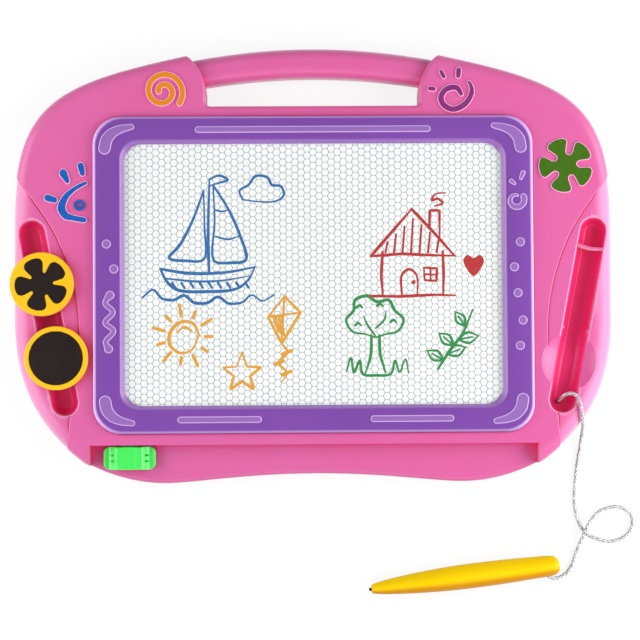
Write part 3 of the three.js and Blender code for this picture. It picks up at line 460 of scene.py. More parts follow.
def spiral(start_radius, end_radius, start_turns, sweep_turns, steps):
    points = []
    for step in range(steps + 1):
        share = step / steps
        radius = start_radius + (end_radius - start_radius) * share
        points.append(toward((start_turns + sweep_turns * share) * math.tau, radius))
    return points


def slab(outline, profile, lips=None):
    """An outline raised through (inset, height) pairs; lips give each level's edge a share of painted
    highlight.
    """
    levels = [[(*p, height) for p in inset(outline, distance)] for distance, height in profile]
    return skinned(levels, marks=lips and [[lip] * len(outline) for lip in lips])


def prism(outline, bottom, top):
    return slab(outline, [(0, bottom), (0, top)])


def box(low, high):
    corners = [point(low[0], low[1]), point(high[0], low[1]), point(high[0], high[1]), point(low[0], high[1])]
    return prism(corners, low[2], high[2])


def turned(profile, centre=Vector((0, 0)), sides=48, closed=False):
    """A round body spun from a half profile of (radius, height) pairs; a closed profile makes a ring."""
    work = bmesh.new()
    line = [work.verts.new(Vector((centre.x + radius, centre.y, height)) * MM) for radius, height in profile]
    edges = [work.edges.new(pair) for pair in zip(line, line[1:] + line[:closed])]
    bmesh.ops.spin(
        work, geom=line + edges, cent=(centre.x * MM, centre.y * MM, 0), axis=(0, 0, 1), steps=sides,
        angle=math.tau, use_merge=True,
    )
    bmesh.ops.holes_fill(work, edges=work.edges)
    return mesh_from(work)


def round_top(across, down, top, steps=8, start=0.0):
    """Profile of a round upper edge, from the side to the flat top."""
    turns = [step / steps * math.pi / 2 for step in range(steps + 1)]
    return [(start + across * (1 - math.cos(a)), top - down * (1 - math.sin(a))) for a in turns]


def outwards(profile):
    return [(-distance, height) for distance, height in profile]


def along_x(mesh):
    """Turns a body made along Z to lie along X; its X and Y become Y and Z."""
    mesh.transform(Matrix(((0, 0, 1, 0), (1, 0, 0, 0), (0, 1, 0, 0), (0, 0, 0, 1))))
    return mesh


def mirrored(mesh):
    mesh.transform(Matrix.Scale(-1, 4, Vector((1, 0, 0))))
    mesh.flip_normals()
    return mesh


def applied(piece):
    """Bakes the modifiers of a piece into its mesh."""
    depsgraph = bpy.context.evaluated_depsgraph_get()
    piece.data = bpy.data.meshes.new_from_object(piece.evaluated_get(depsgraph))
    piece.modifiers.clear()
    return piece


def combine(operation, first, second):
    """Joins, cuts or intersects two closed meshes and gives a new one."""
    base, tool = link("base", first), link("tool", second)
    change = base.modifiers.new("change", "BOOLEAN")
    change.operation = operation
    change.solver = "MANIFOLD"
    change.object = tool
    result = applied(base).data
    bpy.data.objects.remove(base)
    bpy.data.objects.remove(tool)
    return result


def union(first, *others):
    for other in others:
        first = combine("UNION", first, other)
    return first


def cut(first, *others):
    for other in others:
        first = combine("DIFFERENCE", first, other)
    return first


def common(first, second):
    return combine("INTERSECT", first, second)


def soften(piece, sharp_angle=32.0, weighted=True, flat=False):
    """Merges slivers, shades the mesh smooth up to an angle and lets large faces lead the normals."""
    work = bmesh.new()
    work.from_mesh(piece.data)
    bmesh.ops.remove_doubles(work, verts=work.verts, dist=0.004 * MM)
    bmesh.ops.dissolve_degenerate(work, edges=work.edges, dist=0.004 * MM)
    if flat:
        level = [e for e in work.edges if all(face.normal.z > 0.9995 for face in e.link_faces)]
        bmesh.ops.dissolve_limit(work, angle_limit=math.radians(2.5), verts=[], edges=level)
    work.to_mesh(piece.data)
    work.free()
    piece.data.shade_smooth()
    piece.data.set_sharp_from_angle(angle=math.radians(sharp_angle))
    if weighted:
        change = piece.modifiers.new("normals", "WEIGHTED_NORMAL")
        change.keep_sharp = True
        change.weight = 100
        applied(piece)
    if flat:
        normals = [corner.vector.copy() for corner in piece.data.corner_normals]
        for face in piece.data.polygons:
            if face.normal.z > 0.9995:
                for corner in face.loop_indices:
                    normals[corner] = Vector((0, 0, 1))
        piece.data.normals_split_custom_set(normals)
    return piece


def moulded(name, base, flow_and_shade, rim, roughness, rim_share, hollow_reach=0.0, **values):
    """ABS, injection moulded: an even satin colour with faint flow marks and the fine grain of the mould.

    Its colour is painted deeper in its hollows, a painted shade, and paler along marked edges, a painted
    highlight.
    """
    material, tree, shader, place = started(name, Coat_Roughness=0.16, IOR=1.46, **values)
    drawn = add(tree, "Mapping", {"Vector": place, "Scale": (1, 0.6, 1)})["Vector"]
    flow = add(tree, "TexNoise", {
        "Vector": drawn, "Scale": repeats(62.5), "Detail": 4, "Roughness": 0.55,
    })["Fac"]
    tone = varied(tree, flow, 0.35, 0.7, colour(base), colour(flow_and_shade), 0.1)
    # Painted shade: a deeper colour where the 'hollow' marks say so, and, with a reach, where ambient
    # occlusion finds the surface shut in
    hollow = add(tree, "Attribute", {}, attribute_name="hollow")["Fac"]
    if hollow_reach:
        open_sky = add(tree, "AmbientOcclusion", {"Distance": hollow_reach * MM}, samples=16)["AO"]
        shut_in = varied(tree, open_sky, 0.3, 0.86, 1.0, 0.0)
        hollow = add(tree, "Math", {0: hollow, 1: shut_in}, operation="MAXIMUM")["Value"]
    tone = add(tree, "Mix", {"Factor": hollow, "A": tone, "B": colour(flow_and_shade)}, data_type="RGBA")["Result"]
    # Painted highlight: the pale rim colour along the edges that the 'lip' marks pick out
    painted_highlight = add(tree, "Attribute", {}, attribute_name="lip")["Fac"]
    share = add(tree, "Math", {0: painted_highlight, 1: rim_share}, operation="MULTIPLY")["Value"]
    tone = add(tree, "Mix", {"Factor": share, "A": tone, "B": colour(rim)}, data_type="RGBA")["Result"]
    wear = add(tree, "TexNoise", {
        "Vector": place, "Scale": repeats(4.17), "Detail": 3, "Roughness": 0.6,
    })["Fac"]
    sheen = varied(tree, wear, 0.3, 0.7, roughness - 0.01, roughness + 0.02)
    sink = add(tree, "TexNoise", {"Vector": place, "Scale": repeats(22.2), "Detail": 2})["Fac"]
    waves = add(tree, "Bump", {"Height": sink, "Distance": 0.03 * MM, "Strength": 0.5})["Normal"]
    spark = add(tree, "TexNoise", {"Vector": place, "Scale": repeats(0.385), "Detail": 2})["Fac"]
    grain = add(tree, "Bump", {
        "Height": spark, "Distance": 0.02 * MM, "Strength": 0.6, "Normal": waves,
    })["Normal"]
    plug(tree, shader, {"Base Color": tone, "Roughness": sheen, "Normal": grain})
    return material


# Painted shade in hollows shut in within 12 mm, and painted highlight along marked edges
pink_abs = moulded("pink_moulded_abs", "#E065A6", "#F22276", "#FFC4EC", 0.38, 0.75, 12.0,
                   Coat_Weight=0.2, Sheen_Weight=1.0, Sheen_Roughness=0.35)

right_side = []
for shares, steps in zip(outline_shares, outline_steps):
    stretch = bezier([board_point(*share) for share in shares], steps)
    right_side += stretch[1:] if right_side else stretch
body = with_mirror(right_side[::-1])
peak = board_point(*outline_shares[0][0])  # of the right shoulder, beside the handle

# The finger gap between the shoulders is open towards the back, and the bar of the handle closes it
gap_start = point(gap_half, gap_bottom)
gap_rise = peak - gap_start
corner_centre = point(gap_half - gap_corner, gap_bottom + gap_corner)
right_side = [corner_centre + toward((step / 8 - 1) * math.pi / 2, gap_corner) for step in range(9)]
right_side += bezier([gap_start + point(gap_rise.x * a, gap_rise.y * b) for a, b in shoulder_shares], 20)
right_side += [peak, peak + point(7, 5), point(peak.x + 7, half_width + 10)]
notch = with_mirror(right_side)
bar_places = [(gap_half + bar_reach) * step / 24 for step in range(25)]
bar_under = [point(x, gap_top - bar_bow_under * (x / gap_half) ** 2) for x in bar_places]
bar_over = [point(x, half_width - bar_bow_over * (x / gap_half) ** 2) for x in bar_places]
bar = with_mirror(bar_under + bar_over[::-1])

tray_top, tray_bottom = wing_point(0.766, 0.146), wing_point(0.361, -0.6255)
tray_axis = tray_bottom - tray_top
tray = stadium(tray_top, tray_bottom, tray_radius)
cord_hole = tray_bottom - point(tray_radius / 5, tray_radius / 8)
scoop_centre = tray_point(scoop_share)
screw_places = []
for share in screw_shares:
    spot = board_point(*share)
    screw_places += [spot, point(-spot.x, spot.y)]
screw_places.append(point(0, half_width - bar_width / 2))

# Outer form: the middle, cut down to the wings behind a rounded crease with a fine groove, and to the foot
middle = slab(body, [(0, housing_foot), *round_top(*body_edge, housing_top, 14)])
wings = slab(body, [(0, housing_foot), *round_top(*wing_edge, wing_top, 18)])
crease = smooth_line([wing_point(*share) for share in crease_shares], 10)
far = half_length + wing_width
behind_crease = crease + [point(far, crease[-1].y), point(far, crease[0].y)]
crease_edge = [
    (0, wing_top - 10), *outwards(round_top(crease_radius, crease_radius, housing_top, 6)),
    (-crease_radius, housing_top + overrun),
]
for outline in (behind_crease, flipped(behind_crease)):
    middle = cut(middle, cut(slab(outline, crease_edge), wings))
for side in (crease, [point(-p.x, p.y) for p in crease]):
    groove = prism(band(side, [groove_width] * 2), wing_top - groove_width, housing_top + overrun)
    middle = cut(middle, groove)

foot_edge_top = foot_top - foot_fall
foot_zone = box(
    (-foot_half, -half_width - overrun, housing_foot), (foot_half, riser_y, housing_top + overrun),
)
foot_rounding = slab(body, [
    (0, housing_foot), *round_top(foot_edge, foot_edge, foot_edge_top + foot_edge * 0.06, 6),
    (2 * foot_edge, foot_top + foot_edge), (2 * foot_edge, housing_top + 2 * overrun),
])
foot_slope = foot_fall / foot_depth
above_foot = [
    point(-half_width - 2 * overrun, foot_edge_top - foot_slope * 2 * overrun),
    point(riser_y + overrun, foot_top + foot_slope * overrun),
    point(riser_y + overrun, housing_top + 3 * overrun),
    point(-half_width - 2 * overrun, housing_top + 3 * overrun),
]
foot_space = cut(foot_zone, cut(foot_rounding, along_x(prism(above_foot, -half_length, half_length))))
gap_space = slab(notch, [
    (0, 0), *outwards(round_top(*gap_flare, housing_top, 10)), (-gap_flare[0], housing_top + overrun),
])
handle = slab(bar, [(0, housing_foot), *round_top(*bar_edge, bar_top, 16)])
outer_form = union(cut(middle, foot_space, gap_space), handle)


def inner_room(thickness, body_profile, bar_profile, bottom, top):
    grown = prism(inset(notch, -thickness), bottom - overrun, top + overrun)
    return union(cut(slab(body, body_profile), grown), slab(bar, bar_profile))


def pocket_outline(growth):
    return rounded_rectangle(bezel_half + point(growth, growth), bezel_corner + growth, screen_y, 16)


housing_room = inner_room(
    wall, [(wall, 0), *round_top(wing_edge[0] - wall, wing_edge[1], wing_top - wall, 6, wall)],
    [(wall, 0), *round_top(bar_edge[0] - wall, bar_edge[1], bar_top - wall, 6, wall)], 0, housing_top,
)

# What stands inside the hollow shell: the screen's seat, tray walls, the foot's box and screw bosses
supports = [prism(pocket_outline(seat + wall), pocket_under, housing_top)]
for outline in (tray, flipped(tray)):
    supports.append(slab(outline, [(tray_radius / 2, tray_floor - wall), (-wall, tray_floor + wall),
                                   (-wall, housing_top)]))
supports.append(turned([
    (scoop_radius / 2 + wall, wing_top - scoop_depth - wall), (scoop_radius + wall, wing_top - wall),
    (scoop_radius + wall, housing_top),
], scoop_centre))
supports.append(box(
    (-foot_half - wall, -2 * half_width, foot_under), (foot_half + wall, riser_y + wall, housing_top),
))
screw_boss = [(screw_boss_radius, screw_boss_foot), (screw_boss_radius, housing_top)]
screw_hole = [(screw_hole_radius, 0), (screw_hole_radius, screw_hole_top)]
supports += [turned(screw_boss, spot, 24) for spot in screw_places]
shell = union(cut(outer_form, housing_room), *[common(support, outer_form) for support in supports])

# What is cut out from above: the screen's pocket and window, trays, scoop, slot, cord hole and screw holes
tray_turns = [math.radians(20 + 70 * step / 9) for step in range(10)]
lip_turns = [math.pi / 2 * step / 6 for step in range(7)]
tray_space = slab(tray, [
    *[(tray_radius * (1 - math.sin(a)), tray_floor + tray_radius * (math.cos(tray_turns[0]) - math.cos(a)))
      for a in tray_turns],
    *[(-tray_lip * (1 - math.cos(a)), wing_top - tray_lip * (1 - math.sin(a))) for a in lip_turns],
    (-tray_lip, housing_top + overrun),
])
scoop_sphere = (scoop_radius**2 + scoop_depth**2) / (2 * scoop_depth)
scoop_height = wing_top - scoop_depth + scoop_sphere
scoop_radii = [scoop_radius * (0.1 + 0.9 * step / 14) for step in range(15)]
scoop_space = turned([
    *[(radius, scoop_height - math.sqrt(scoop_sphere**2 - radius**2)) for radius in scoop_radii],
    (scoop_radius + 0.25, wing_top + 0.12), (scoop_radius + 0.6, wing_top + 0.2),
    (scoop_radius + 0.6, housing_top + overrun),
], scoop_centre, 96)
shell = cut(
    shell,
    slab(pocket_outline(seat), [(0, pocket_floor), *outwards(round_top(0.5, 0.5, housing_top, 4)),
                                (-0.5, housing_top + overrun)]),
    prism(rounded_rectangle(window_half, panel_corner, screen_y), pocket_under - overrun, housing_top),
    tray_space.copy(), mirrored(tray_space), scoop_space,
    box((-slot_half, riser_y - overrun, slot_bottom), (slot_half, riser_y + overrun, slot_top)),
    turned([(cord_hole_radius, 0), (cord_hole_radius, tray_floor + wall)], cord_hole, 24),
    *[turned(screw_hole, spot, 16) for spot in screw_places],
)

# What stands on it: the panel's rim, the rib that keeps the pen in, and two nubs that grip the pen
rim_half = panel_half + point(rub, rub)
rim_outer = rim_half + point(rim_thickness, rim_thickness)
panel_rim = cut(
    prism(
        rounded_rectangle(rim_outer, panel_corner + rim_thickness, screen_y),
        pocket_under, pocket_floor + rim_height,
    ),
    prism(rounded_rectangle(rim_half, panel_corner, screen_y), 0, housing_top),
)
across_tray = point(-tray_axis.y, tray_axis.x).normalized()
rib_ends = [tray_point(rib_share) + across_tray * side * (tray_radius - 0.2) for side in (-1, 1)]
rib_middle = tray_point(rib_share) + tray_axis.normalized() * rib_sag
rib = slab(band(smooth_line([rib_ends[0], rib_middle, rib_ends[1]], 6), [rib_width] * 2),
           [(0, tray_floor - 1), *round_top(0.6, 0.6, wing_top + 0.5, 5)])
nubs = [
    slab(circle(tray_point(nub_share) + across_tray * side * tray_radius, nub_radius, 24),
         [(0, tray_floor + wall), *round_top(0.9, 0.9, wing_top - 0.5, 5)])
    for side in (-1, 1)
]

# Emblems: plain ornaments, each a raised base whose top is painted
flower_turn = 5
blossom_shares = (
    (0.4, 0), (0.43, 8.5), (0.52, 11.8), (0.68, 10), (0.87, 9.6), (0.97, 16),
    (1, 36), (0.97, 56), (0.87, 62.4), (0.68, 62), (0.52, 60.2), (0.43, 63.5),
)


def flower_outline(radius, shares):
    """A flower of five petals, each from points at a share of the radius and at an angle in degrees."""
    return smooth_line([
        toward(math.radians(flower_turn + degrees + petal * 72), radius * share)
        for petal in range(5) for share, degrees in shares
    ], 6, closed=True)


def painted_line(places, widths):
    """A raised line whose paint has these widths."""
    line = [point(*place) for place in places]
    line = smooth_line(line, 9) if len(line) > 2 else line
    return band(line, [width + 2 * emblem_rim for width in widths])


emblems = {
    "orange": [moved(band(spiral(2.8, 13.9, 0.5, -1.6, 90), [4.5, 4.5]), point(-101.7, 117.9))],
    "violet": [
        painted_line((
            (101.3, 115.4), (98.8, 119.2), (95.1, 119.9), (90.3, 117.9), (87.5, 112.9), (89.5, 107.8),
            (95.6, 104.9), (102.5, 107.4), (106.6, 111.8), (108.5, 116.6), (108.1, 120.7), (106.7, 123.4),
        ), [2.7, 3.6, 3.7, 3.7, 3.8, 3.8, 3.7, 3.8, 3.5, 3.1, 2.5, 1.9]),
        painted_line(((87.7, 130.7), (89.5, 127.3)), [2.6, 2.6]),
        painted_line(((99.8, 131.7), (99.4, 127.8)), [3.3, 3]),
        painted_line(((79.9, 119.1), (82.6, 118.9)), [2.8, 2.8]),
    ],
    "blue": [
        painted_line((
            (-154.3, 55.6), (-159.1, 53.3), (-164.2, 49.9), (-168.2, 45.5), (-170.6, 38.7), (-167.9, 33.6),
            (-162.8, 31.9), (-155.4, 30.5),
        ), [2.2, 2.6, 3.1, 4.1, 5.4, 4.9, 3.6, 3.4]),
        painted_line(((-169.4, 62.4), (-166.7, 57.0)), [5.4, 3.1]),
        painted_line(((-157.6, 67.3), (-156.4, 62.1)), [4.5, 3.3]),
        painted_line(((-180.1, 45.7), (-175.5, 44.2)), [4.5, 3.9]),
    ],
    "green": [moved(flower_outline(19.0, blossom_shares), point(172.4, 66.3))],
}
emblem_bases = [
    slab(outline, [(0, housing_top - 1), *round_top(0.45, 0.45, housing_top + emblem_height, 4)])
    for outlines in emblems.values() for outline in outlines
]
housing = soften(link("front_housing_fine", union(shell, panel_rim, rib, *nubs, *emblem_bases)), flat=True)

# Painted shade and painted highlight: points deep in a tray take the deeper pink by how deep they lie, a
# painted shade, and the trays' lips, the emblems' raised bases and the wings' outer edges take the pale pink,
# a painted highlight
hollows = housing.data.attributes.new("hollow", "FLOAT", "POINT")
lips = housing.data.attributes.get("lip") or housing.data.attributes.new("lip", "FLOAT", "POINT")
for vertex, hollow, lip in zip(housing.data.vertices, hollows.data, lips.data):
    x, y, height = vertex.co / MM
    spot = point(abs(x), y)
    share = clamped((spot - tray_top).dot(tray_axis) / tray_axis.length_squared)
    away = (spot - tray_point(share)).length
    scooped = x > 0 and (spot - scoop_centre).length < scoop_radius + 1
    on_foot = spot.x < foot_half + 0.2 and y < riser_y + 0.2
    lip.value = 0.0
    if away < tray_radius + 0.1:
        hollow.value = clamped((wing_top - 0.8 - height) / 3.5)
    elif away < tray_radius + tray_lip - 0.1 and height > wing_top - 0.9:
        lip.value = 0.55
    elif not scooped and not on_foot:
        lip.value = 0.75 * clamped((spot.x - 140) / 40) * clamped((wing_top - 0.6 - height) / 5)
    if height > housing_top + 0.1:
        lip.value = 1.0
finish(housing, "board", "pink_shell", pink_abs, "front_housing")

# Emblem paint: pad-printed ink in four colours on the raised bases, a little inside their edges, so that a
# pink rim shows round it. The blue emblem also has a painted ring.
paint_top = housing_top + emblem_height + 0.08
paint_colours = {"orange": "#E58A00", "violet": "#862C78", "blue": "#005EB8", "green": "#3E6C00"}
ring_place = point(-158.6, 40.6)
ring_outer, ring_inner, ring_edge = 3.7, 1.55, 0.15


def together(*meshes):
    """Puts closed bodies into one mesh as they are."""
    work = bmesh.new()
    for mesh in meshes:
        work.from_mesh(mesh)
    whole = bpy.data.meshes.new("body")
    work.to_mesh(whole)
    work.free()
    return whole


def printed(name, base):
    """Pad-printing ink: it covers a little unevenly, and its skin is duller than the plastic round it."""
    material, tree, shader, place = started(name, Specular_IOR_Level=0.25)
    patches = add(tree, "TexNoise", {"Vector": place, "Scale": repeats(2.38), "Detail": 4})["Fac"]
    tone = varied(tree, patches, 0.4, 0.8, colour(base), (1, 1, 1, 1), 0.02)
    skin = add(tree, "TexNoise", {"Vector": place, "Scale": repeats(1.11), "Detail": 2})["Fac"]
    dull = varied(tree, skin, 0.3, 0.7, 0.34, 0.48)
    pits = add(tree, "TexNoise", {"Vector": place, "Scale": repeats(0.667), "Detail": 2})["Fac"]
    relief = add(tree, "Bump", {"Height": pits, "Distance": 0.02 * MM, "Strength": 0.5})["Normal"]
    plug(tree, shader, {"Base Color": tone, "Roughness": dull, "Normal": relief})
    return material


for name, outlines in emblems.items():
    caps = [
        slab(outline, [(emblem_rim, paint_top - 0.4), *round_top(0.2, 0.12, paint_top, 3, emblem_rim)])
        for outline in outlines
    ]
    if name == "blue":
        edge = round_top(ring_edge, ring_edge, paint_top, 3)
        caps.append(turned([
            (ring_outer, housing_top - 0.3), *[(ring_outer - d, h) for d, h in edge],
            *[(ring_inner + d, h) for d, h in reversed(edge)], (ring_inner, housing_top - 0.3),
        ], ring_place, closed=True))
    print_piece = soften(link("emblem_paint_" + name, together(*caps)))
    finish(print_piece, "board", "pink_shell", printed(name + "_pad_print", paint_colours[name]))

# Screen bezel: one moulding of purple ABS with a crowned band and a thin lip over the film. It sits in a
# pocket of the housing and holds the panel down. Crescents, bars, dots and small curls are moulded on it in
# relief.
film_top = 21.0
bezel_lip = film_top + seat
bezel_foot = pocket_floor + seat
bezel_under = bezel_top - 1.5
bezel_crest = bezel_top + 0.6
relief_height = 0.45
crown_corners = (
    (1.3, bezel_top), (2.1, bezel_top + 0.14), (4.5, bezel_crest - 0.18), (9.2, bezel_crest),
    (13.6, bezel_crest - 0.28), (15.8, bezel_top - 0.05), (16.4, bezel_top - 0.4),
)  # distances from the outer side and heights; the fall goes on from there down to the film
fall_corners = (
    (17.1, bezel_top - 1.2), (17.7, bezel_top - 2.3), (18.2, bezel_lip + 0.55), (bezel_band, bezel_lip + 0.2),
)
crescent = ((8.4, 21.9), (9.7, 16.2), (13.4, 11.6), (19.2, 8.8), (26.5, 7.3))  # from the bezel's corner
crescent_widths = (8.4, 8.4, 7.4, 5.8, 4.2)
bar_ends = ((-77.8, 77.8, 1), (40.1, 92.1, -1), (-90.3, -37.8, -1))  # left, right and which long side
bezel_dots = (
    (-140.0, 13.9), (-135.1, -3.0), (140.3, 14.0), (136.1, -3.0), (138.4, -20.6), (141.6, -39.1),
    (139.6, -56.3),
)
zigzag = (
    (-137.7, -20.8), (-141.0, -26.0), (-135.6, -32.2), (-141.0, -39.3), (-135.3, -44.8), (-140.7, -52.4),
    (-138.7, -57.0),
)


def bezel_ring(distance):
    """The band is wider at the sides, so its rings run from the outline to the opening by shares."""
    share = distance / bezel_band
    corner = bezel_corner + (opening_corner - bezel_corner) * share
    return rounded_rectangle(bezel_half.lerp(opening_half, share), corner, screen_y, 24)


# Painted highlight along the band's outer rounded edge, and a little less along its inner edge
def bezel_highlight(distance):
    return max(clamped(1 - (distance - 1.2) / 0.9), clamped((distance - 15.8) / 0.8) * 0.8)


purple_abs = moulded("purple_moulded_abs", "#8149AB", "#4B1C78", "#EBC4FC", 0.3, 0.85, Coat_Weight=0.2)

crown = smooth_line([point(*corner) for corner in crown_corners], 5)
fall = smooth_line([crown[-1], *[point(*corner) for corner in fall_corners]], 4)
bezel_upper = [*round_top(1.3, 1.3, bezel_top, 8), *[(p.x, p.y) for p in crown[1:] + fall[1:]],
               (bezel_band, bezel_lip)]
bezel_hollow = [(16.2, bezel_lip), (16.2, bezel_under), (2.2, bezel_under), (2.2, bezel_foot)]
bezel_levels = [(0, bezel_foot, 0.0)]
bezel_levels += [(distance, height, bezel_highlight(distance)) for distance, height in bezel_upper]
bezel_levels += [(distance, height, 0.0) for distance, height in bezel_hollow]
bezel_rings, bezel_marks = [], []
for distance, height, highlight_share in bezel_levels:
    outline = bezel_ring(distance)
    bezel_rings.append([(*p, height) for p in outline])
    # The painted highlight grows towards the band's left and right sides, which face the side softboxes
    sideways = [clamped((abs(p.x) - opening_half.x + 4) / 22) for p in outline]
    bezel_marks.append([highlight_share * (0.25 + 0.75 * share) for share in sideways])

bar_row = bezel_half.y - bezel_band / 2
reliefs = [
    band([point(left, screen_y + side * bar_row), point(right, screen_y + side * bar_row)], [4.6, 4.6], 12)
    for left, right, side in bar_ends
]
for side_x, side_y in ((1, 1), (-1, 1), (1, -1), (-1, -1)):
    places = [
        point(side_x * (bezel_half.x - across), screen_y + side_y * (bezel_half.y - down))
        for across, down in crescent
    ]
    reliefs.append(band(smooth_line(places, 8), crescent_widths, 14))
reliefs += [circle(point(*place), 3.1, 40) for place in bezel_dots]
zigzag_line = smooth_line([point(*corner) for corner in zigzag], 8)
reliefs.append(band(zigzag_line, [6.2, 5.2, *[3.8] * 21, 5.2, 6.2], 10, reach=0.99))
reliefs.append(band(moved(spiral(3.3, 5.6, 0.2, 0.87, 40), point(137.7, 42.4)), [2.1, 3.9, 4.6], 10))
reliefs.append(band([point(142.6, 61.0), point(141.0, 57.2)], [3.6, 2.6], 8))
reliefs.append(band([point(134.4, 55.4), point(136.7, 53.7)], [3.3, 2.5], 8))
relief_edge = round_top(0.5, relief_height, bezel_crest + relief_height, 4)
# Painted highlight: strong on the reliefs' rounded rims, faint on their tops
relief_bodies = [
    slab(outline, [(0, bezel_crest - 1.0), *relief_edge, (0.85, bezel_crest + relief_height)],
         [0.2, *[0.9] * len(relief_edge), 0.2])
    for outline in reliefs
]
bezel_band_body = skinned(bezel_rings, looped=True, marks=bezel_marks)
bezel = soften(link("screen_bezel_fine", together(bezel_band_body, *relief_bodies)), 40)
finish(bezel, "board", "purple_bezel", purple_abs, "screen_bezel")

# Drawing panel: a honeycomb of grey PVC whose cells are full of a white fluid, sealed between two polyester
# films. The panel lies in the housing's seat under the bezel.
lattice_foot, lattice_top = film_top - 0.4, film_top - 0.2
cell_width, cell_pitch = 5.49, 4.62  # across the corners and across the flats, walls included
cell_gap = 0.44
cell_corner = 0.09  # of a side, cut off at each corner
cell_foot, cell_top = lattice_top - 0.05, lattice_top + 0.04
film_foot = film_top - 0.06
panel_outline = rounded_rectangle(panel_half, panel_corner, screen_y, 8)
cell_half = opening_half + point(4.5, 4.5)

# Rigid PVC, extruded and cut: a cool grey that varies softly, seen through the shine of the film
grey_pvc, tree, shader, place = started(
    "grey_extruded_pvc", Coat_Weight=0.2, Coat_Roughness=0.15, Roughness=0.5,
)
clouds = add(tree, "TexNoise", {"Vector": place, "Scale": repeats(8.33), "Detail": 3})["Fac"]
tone = varied(tree, clouds, 0.35, 0.7, colour("#93A39B"), colour("#A5B2AC"))
plug(tree, shader, {"Base Color": tone})

# Thick white fluid under the film: nearly even, with a few grains of dark powder left in it by the eraser.
# Real grains are finer than a pixel, so they are drawn coarser.
white_fluid, tree, shader, place = started(
    "white_powder_fluid", Coat_Weight=0.3, Coat_Roughness=0.12, Roughness=0.5,
)
clouds = add(tree, "TexNoise", {"Vector": place, "Scale": repeats(22.2), "Detail": 3})["Fac"]
tone = varied(tree, clouds, 0.4, 0.75, colour("#F8FAFA"), colour("#ECF0F0"), 0.2)
grains = add(tree, "TexVoronoi", {"Vector": place, "Scale": repeats(0.909)})["Color"]
tone = varied(tree, grains, 0.96, 1.0, tone, colour("#AEB6B3"), 0.2)
ripples = add(tree, "TexNoise", {"Vector": place, "Scale": repeats(1.11), "Detail": 2})["Fac"]
relief = add(tree, "Bump", {"Height": ripples, "Distance": 0.02 * MM, "Strength": 0.4})["Normal"]
plug(tree, shader, {"Base Color": tone, "Normal": relief})

# Clear polyester film, stretched and rolled flat: all but unseen, with a soft shine and a few long rubbing
# marks
clear_film, tree, shader, place = started(
    "clear_polyester_film", Base_Color=(0.95, 0.97, 0.97, 1), Coat_Weight=0.4, Coat_Roughness=0.08,
)
drawn = add(tree, "Mapping", {"Vector": place, "Scale": (1, 14, 1)})["Vector"]
rubbed = add(tree, "TexNoise", {"Vector": drawn, "Scale": repeats(25), "Detail": 4, "Roughness": 0.6})["Fac"]
dull = varied(tree, rubbed, 0.45, 0.75, 0.08, 0.2)
veil = varied(tree, rubbed, 0.45, 0.8, 0.008, 0.03)
plug(tree, shader, {"Roughness": dull, "Alpha": veil})

lattice = soften(link("panel_lattice", prism(panel_outline, lattice_foot, lattice_top)))
finish(lattice, "board", "cells", grey_pvc, "honeycomb_core")

cell_radius = (cell_width - cell_gap * 1.155) / 2
work = bmesh.new()
bmesh.ops.create_circle(
    work, cap_ends=True, segments=6, radius=cell_radius * MM, matrix=Matrix.Rotation(math.pi / 6, 4, "Z"),
)
bmesh.ops.bevel(
    work, geom=work.verts[:], offset=cell_radius * cell_corner * MM, affect="VERTICES", segments=1,
    profile=0.5, material=-1,
)
raised = bmesh.ops.extrude_face_region(work, geom=work.faces[:])["geom"]
raised = [part for part in raised if isinstance(part, bmesh.types.BMVert)]
narrower = (cell_radius - 0.05) / cell_radius
bmesh.ops.scale(work, vec=(narrower, narrower, 1), verts=raised)
bmesh.ops.translate(work, vec=(0, 0, (cell_top - cell_foot) * MM), verts=raised)
cell = mesh_from(work)

column_pitch = cell_width * 0.75
columns, rows = int(cell_half.x / column_pitch), int(cell_half.y / cell_pitch)
fields = []
for first, column_count, row_count, shift in (
    (-columns, columns + 1, 2 * rows + 1, 0), (1 - columns, columns, 2 * rows, cell_pitch / 2),
):
    field = link("cells", cell.copy())
    start = Vector((first * column_pitch, screen_y - rows * cell_pitch + shift, cell_foot))
    field.data.transform(Matrix.Translation(start * MM))
    steps = (row_count, Vector((0, cell_pitch, 0))), (column_count, Vector((2 * column_pitch, 0, 0)))
    for count, step in steps:
        change = field.modifiers.new("grid", "ARRAY")
        change.count = count
        change.use_relative_offset = False
        change.use_constant_offset = True
        change.constant_offset_displace = step * MM
    fields.append(applied(field).data)
    bpy.data.objects.remove(field)
cells = link("panel_cells", together(*fields))
finish(cells, "board", "cells", white_fluid)

front_film = soften(link("clear_film", prism(panel_outline, film_foot, film_top)))
finish(front_film, "board", "film", clear_film, "front_film")
dress("back_film", clear_film)

# Drawings: coloured magnet powder that the pen, or a stamp, has pulled up to the front film. They are plain
# doodles: a boat, a cloud and waves, a house and a heart, a sun, a star and a kite, a tree, grass and a
# sprig.
ink_foot, ink_top = cell_top - 0.02, cell_top + 0.03
stroke_weight = 1.5
random.seed(41)


def curve(width, *corners, steps=7):
    return smooth_line([point(*corner) for corner in corners], steps), width


def sides(width, *corners):
    """Straight lines with points along them, so that a stroke keeps its corners."""
    ends = [point(*corner) for corner in corners]
    line = [a.lerp(b, step / 6) for a, b in zip(ends, ends[1:]) for step in range(6)]
    return line + ends[-1:], width


def dash(width, start, end):
    return [point(*start), point(*end)], width


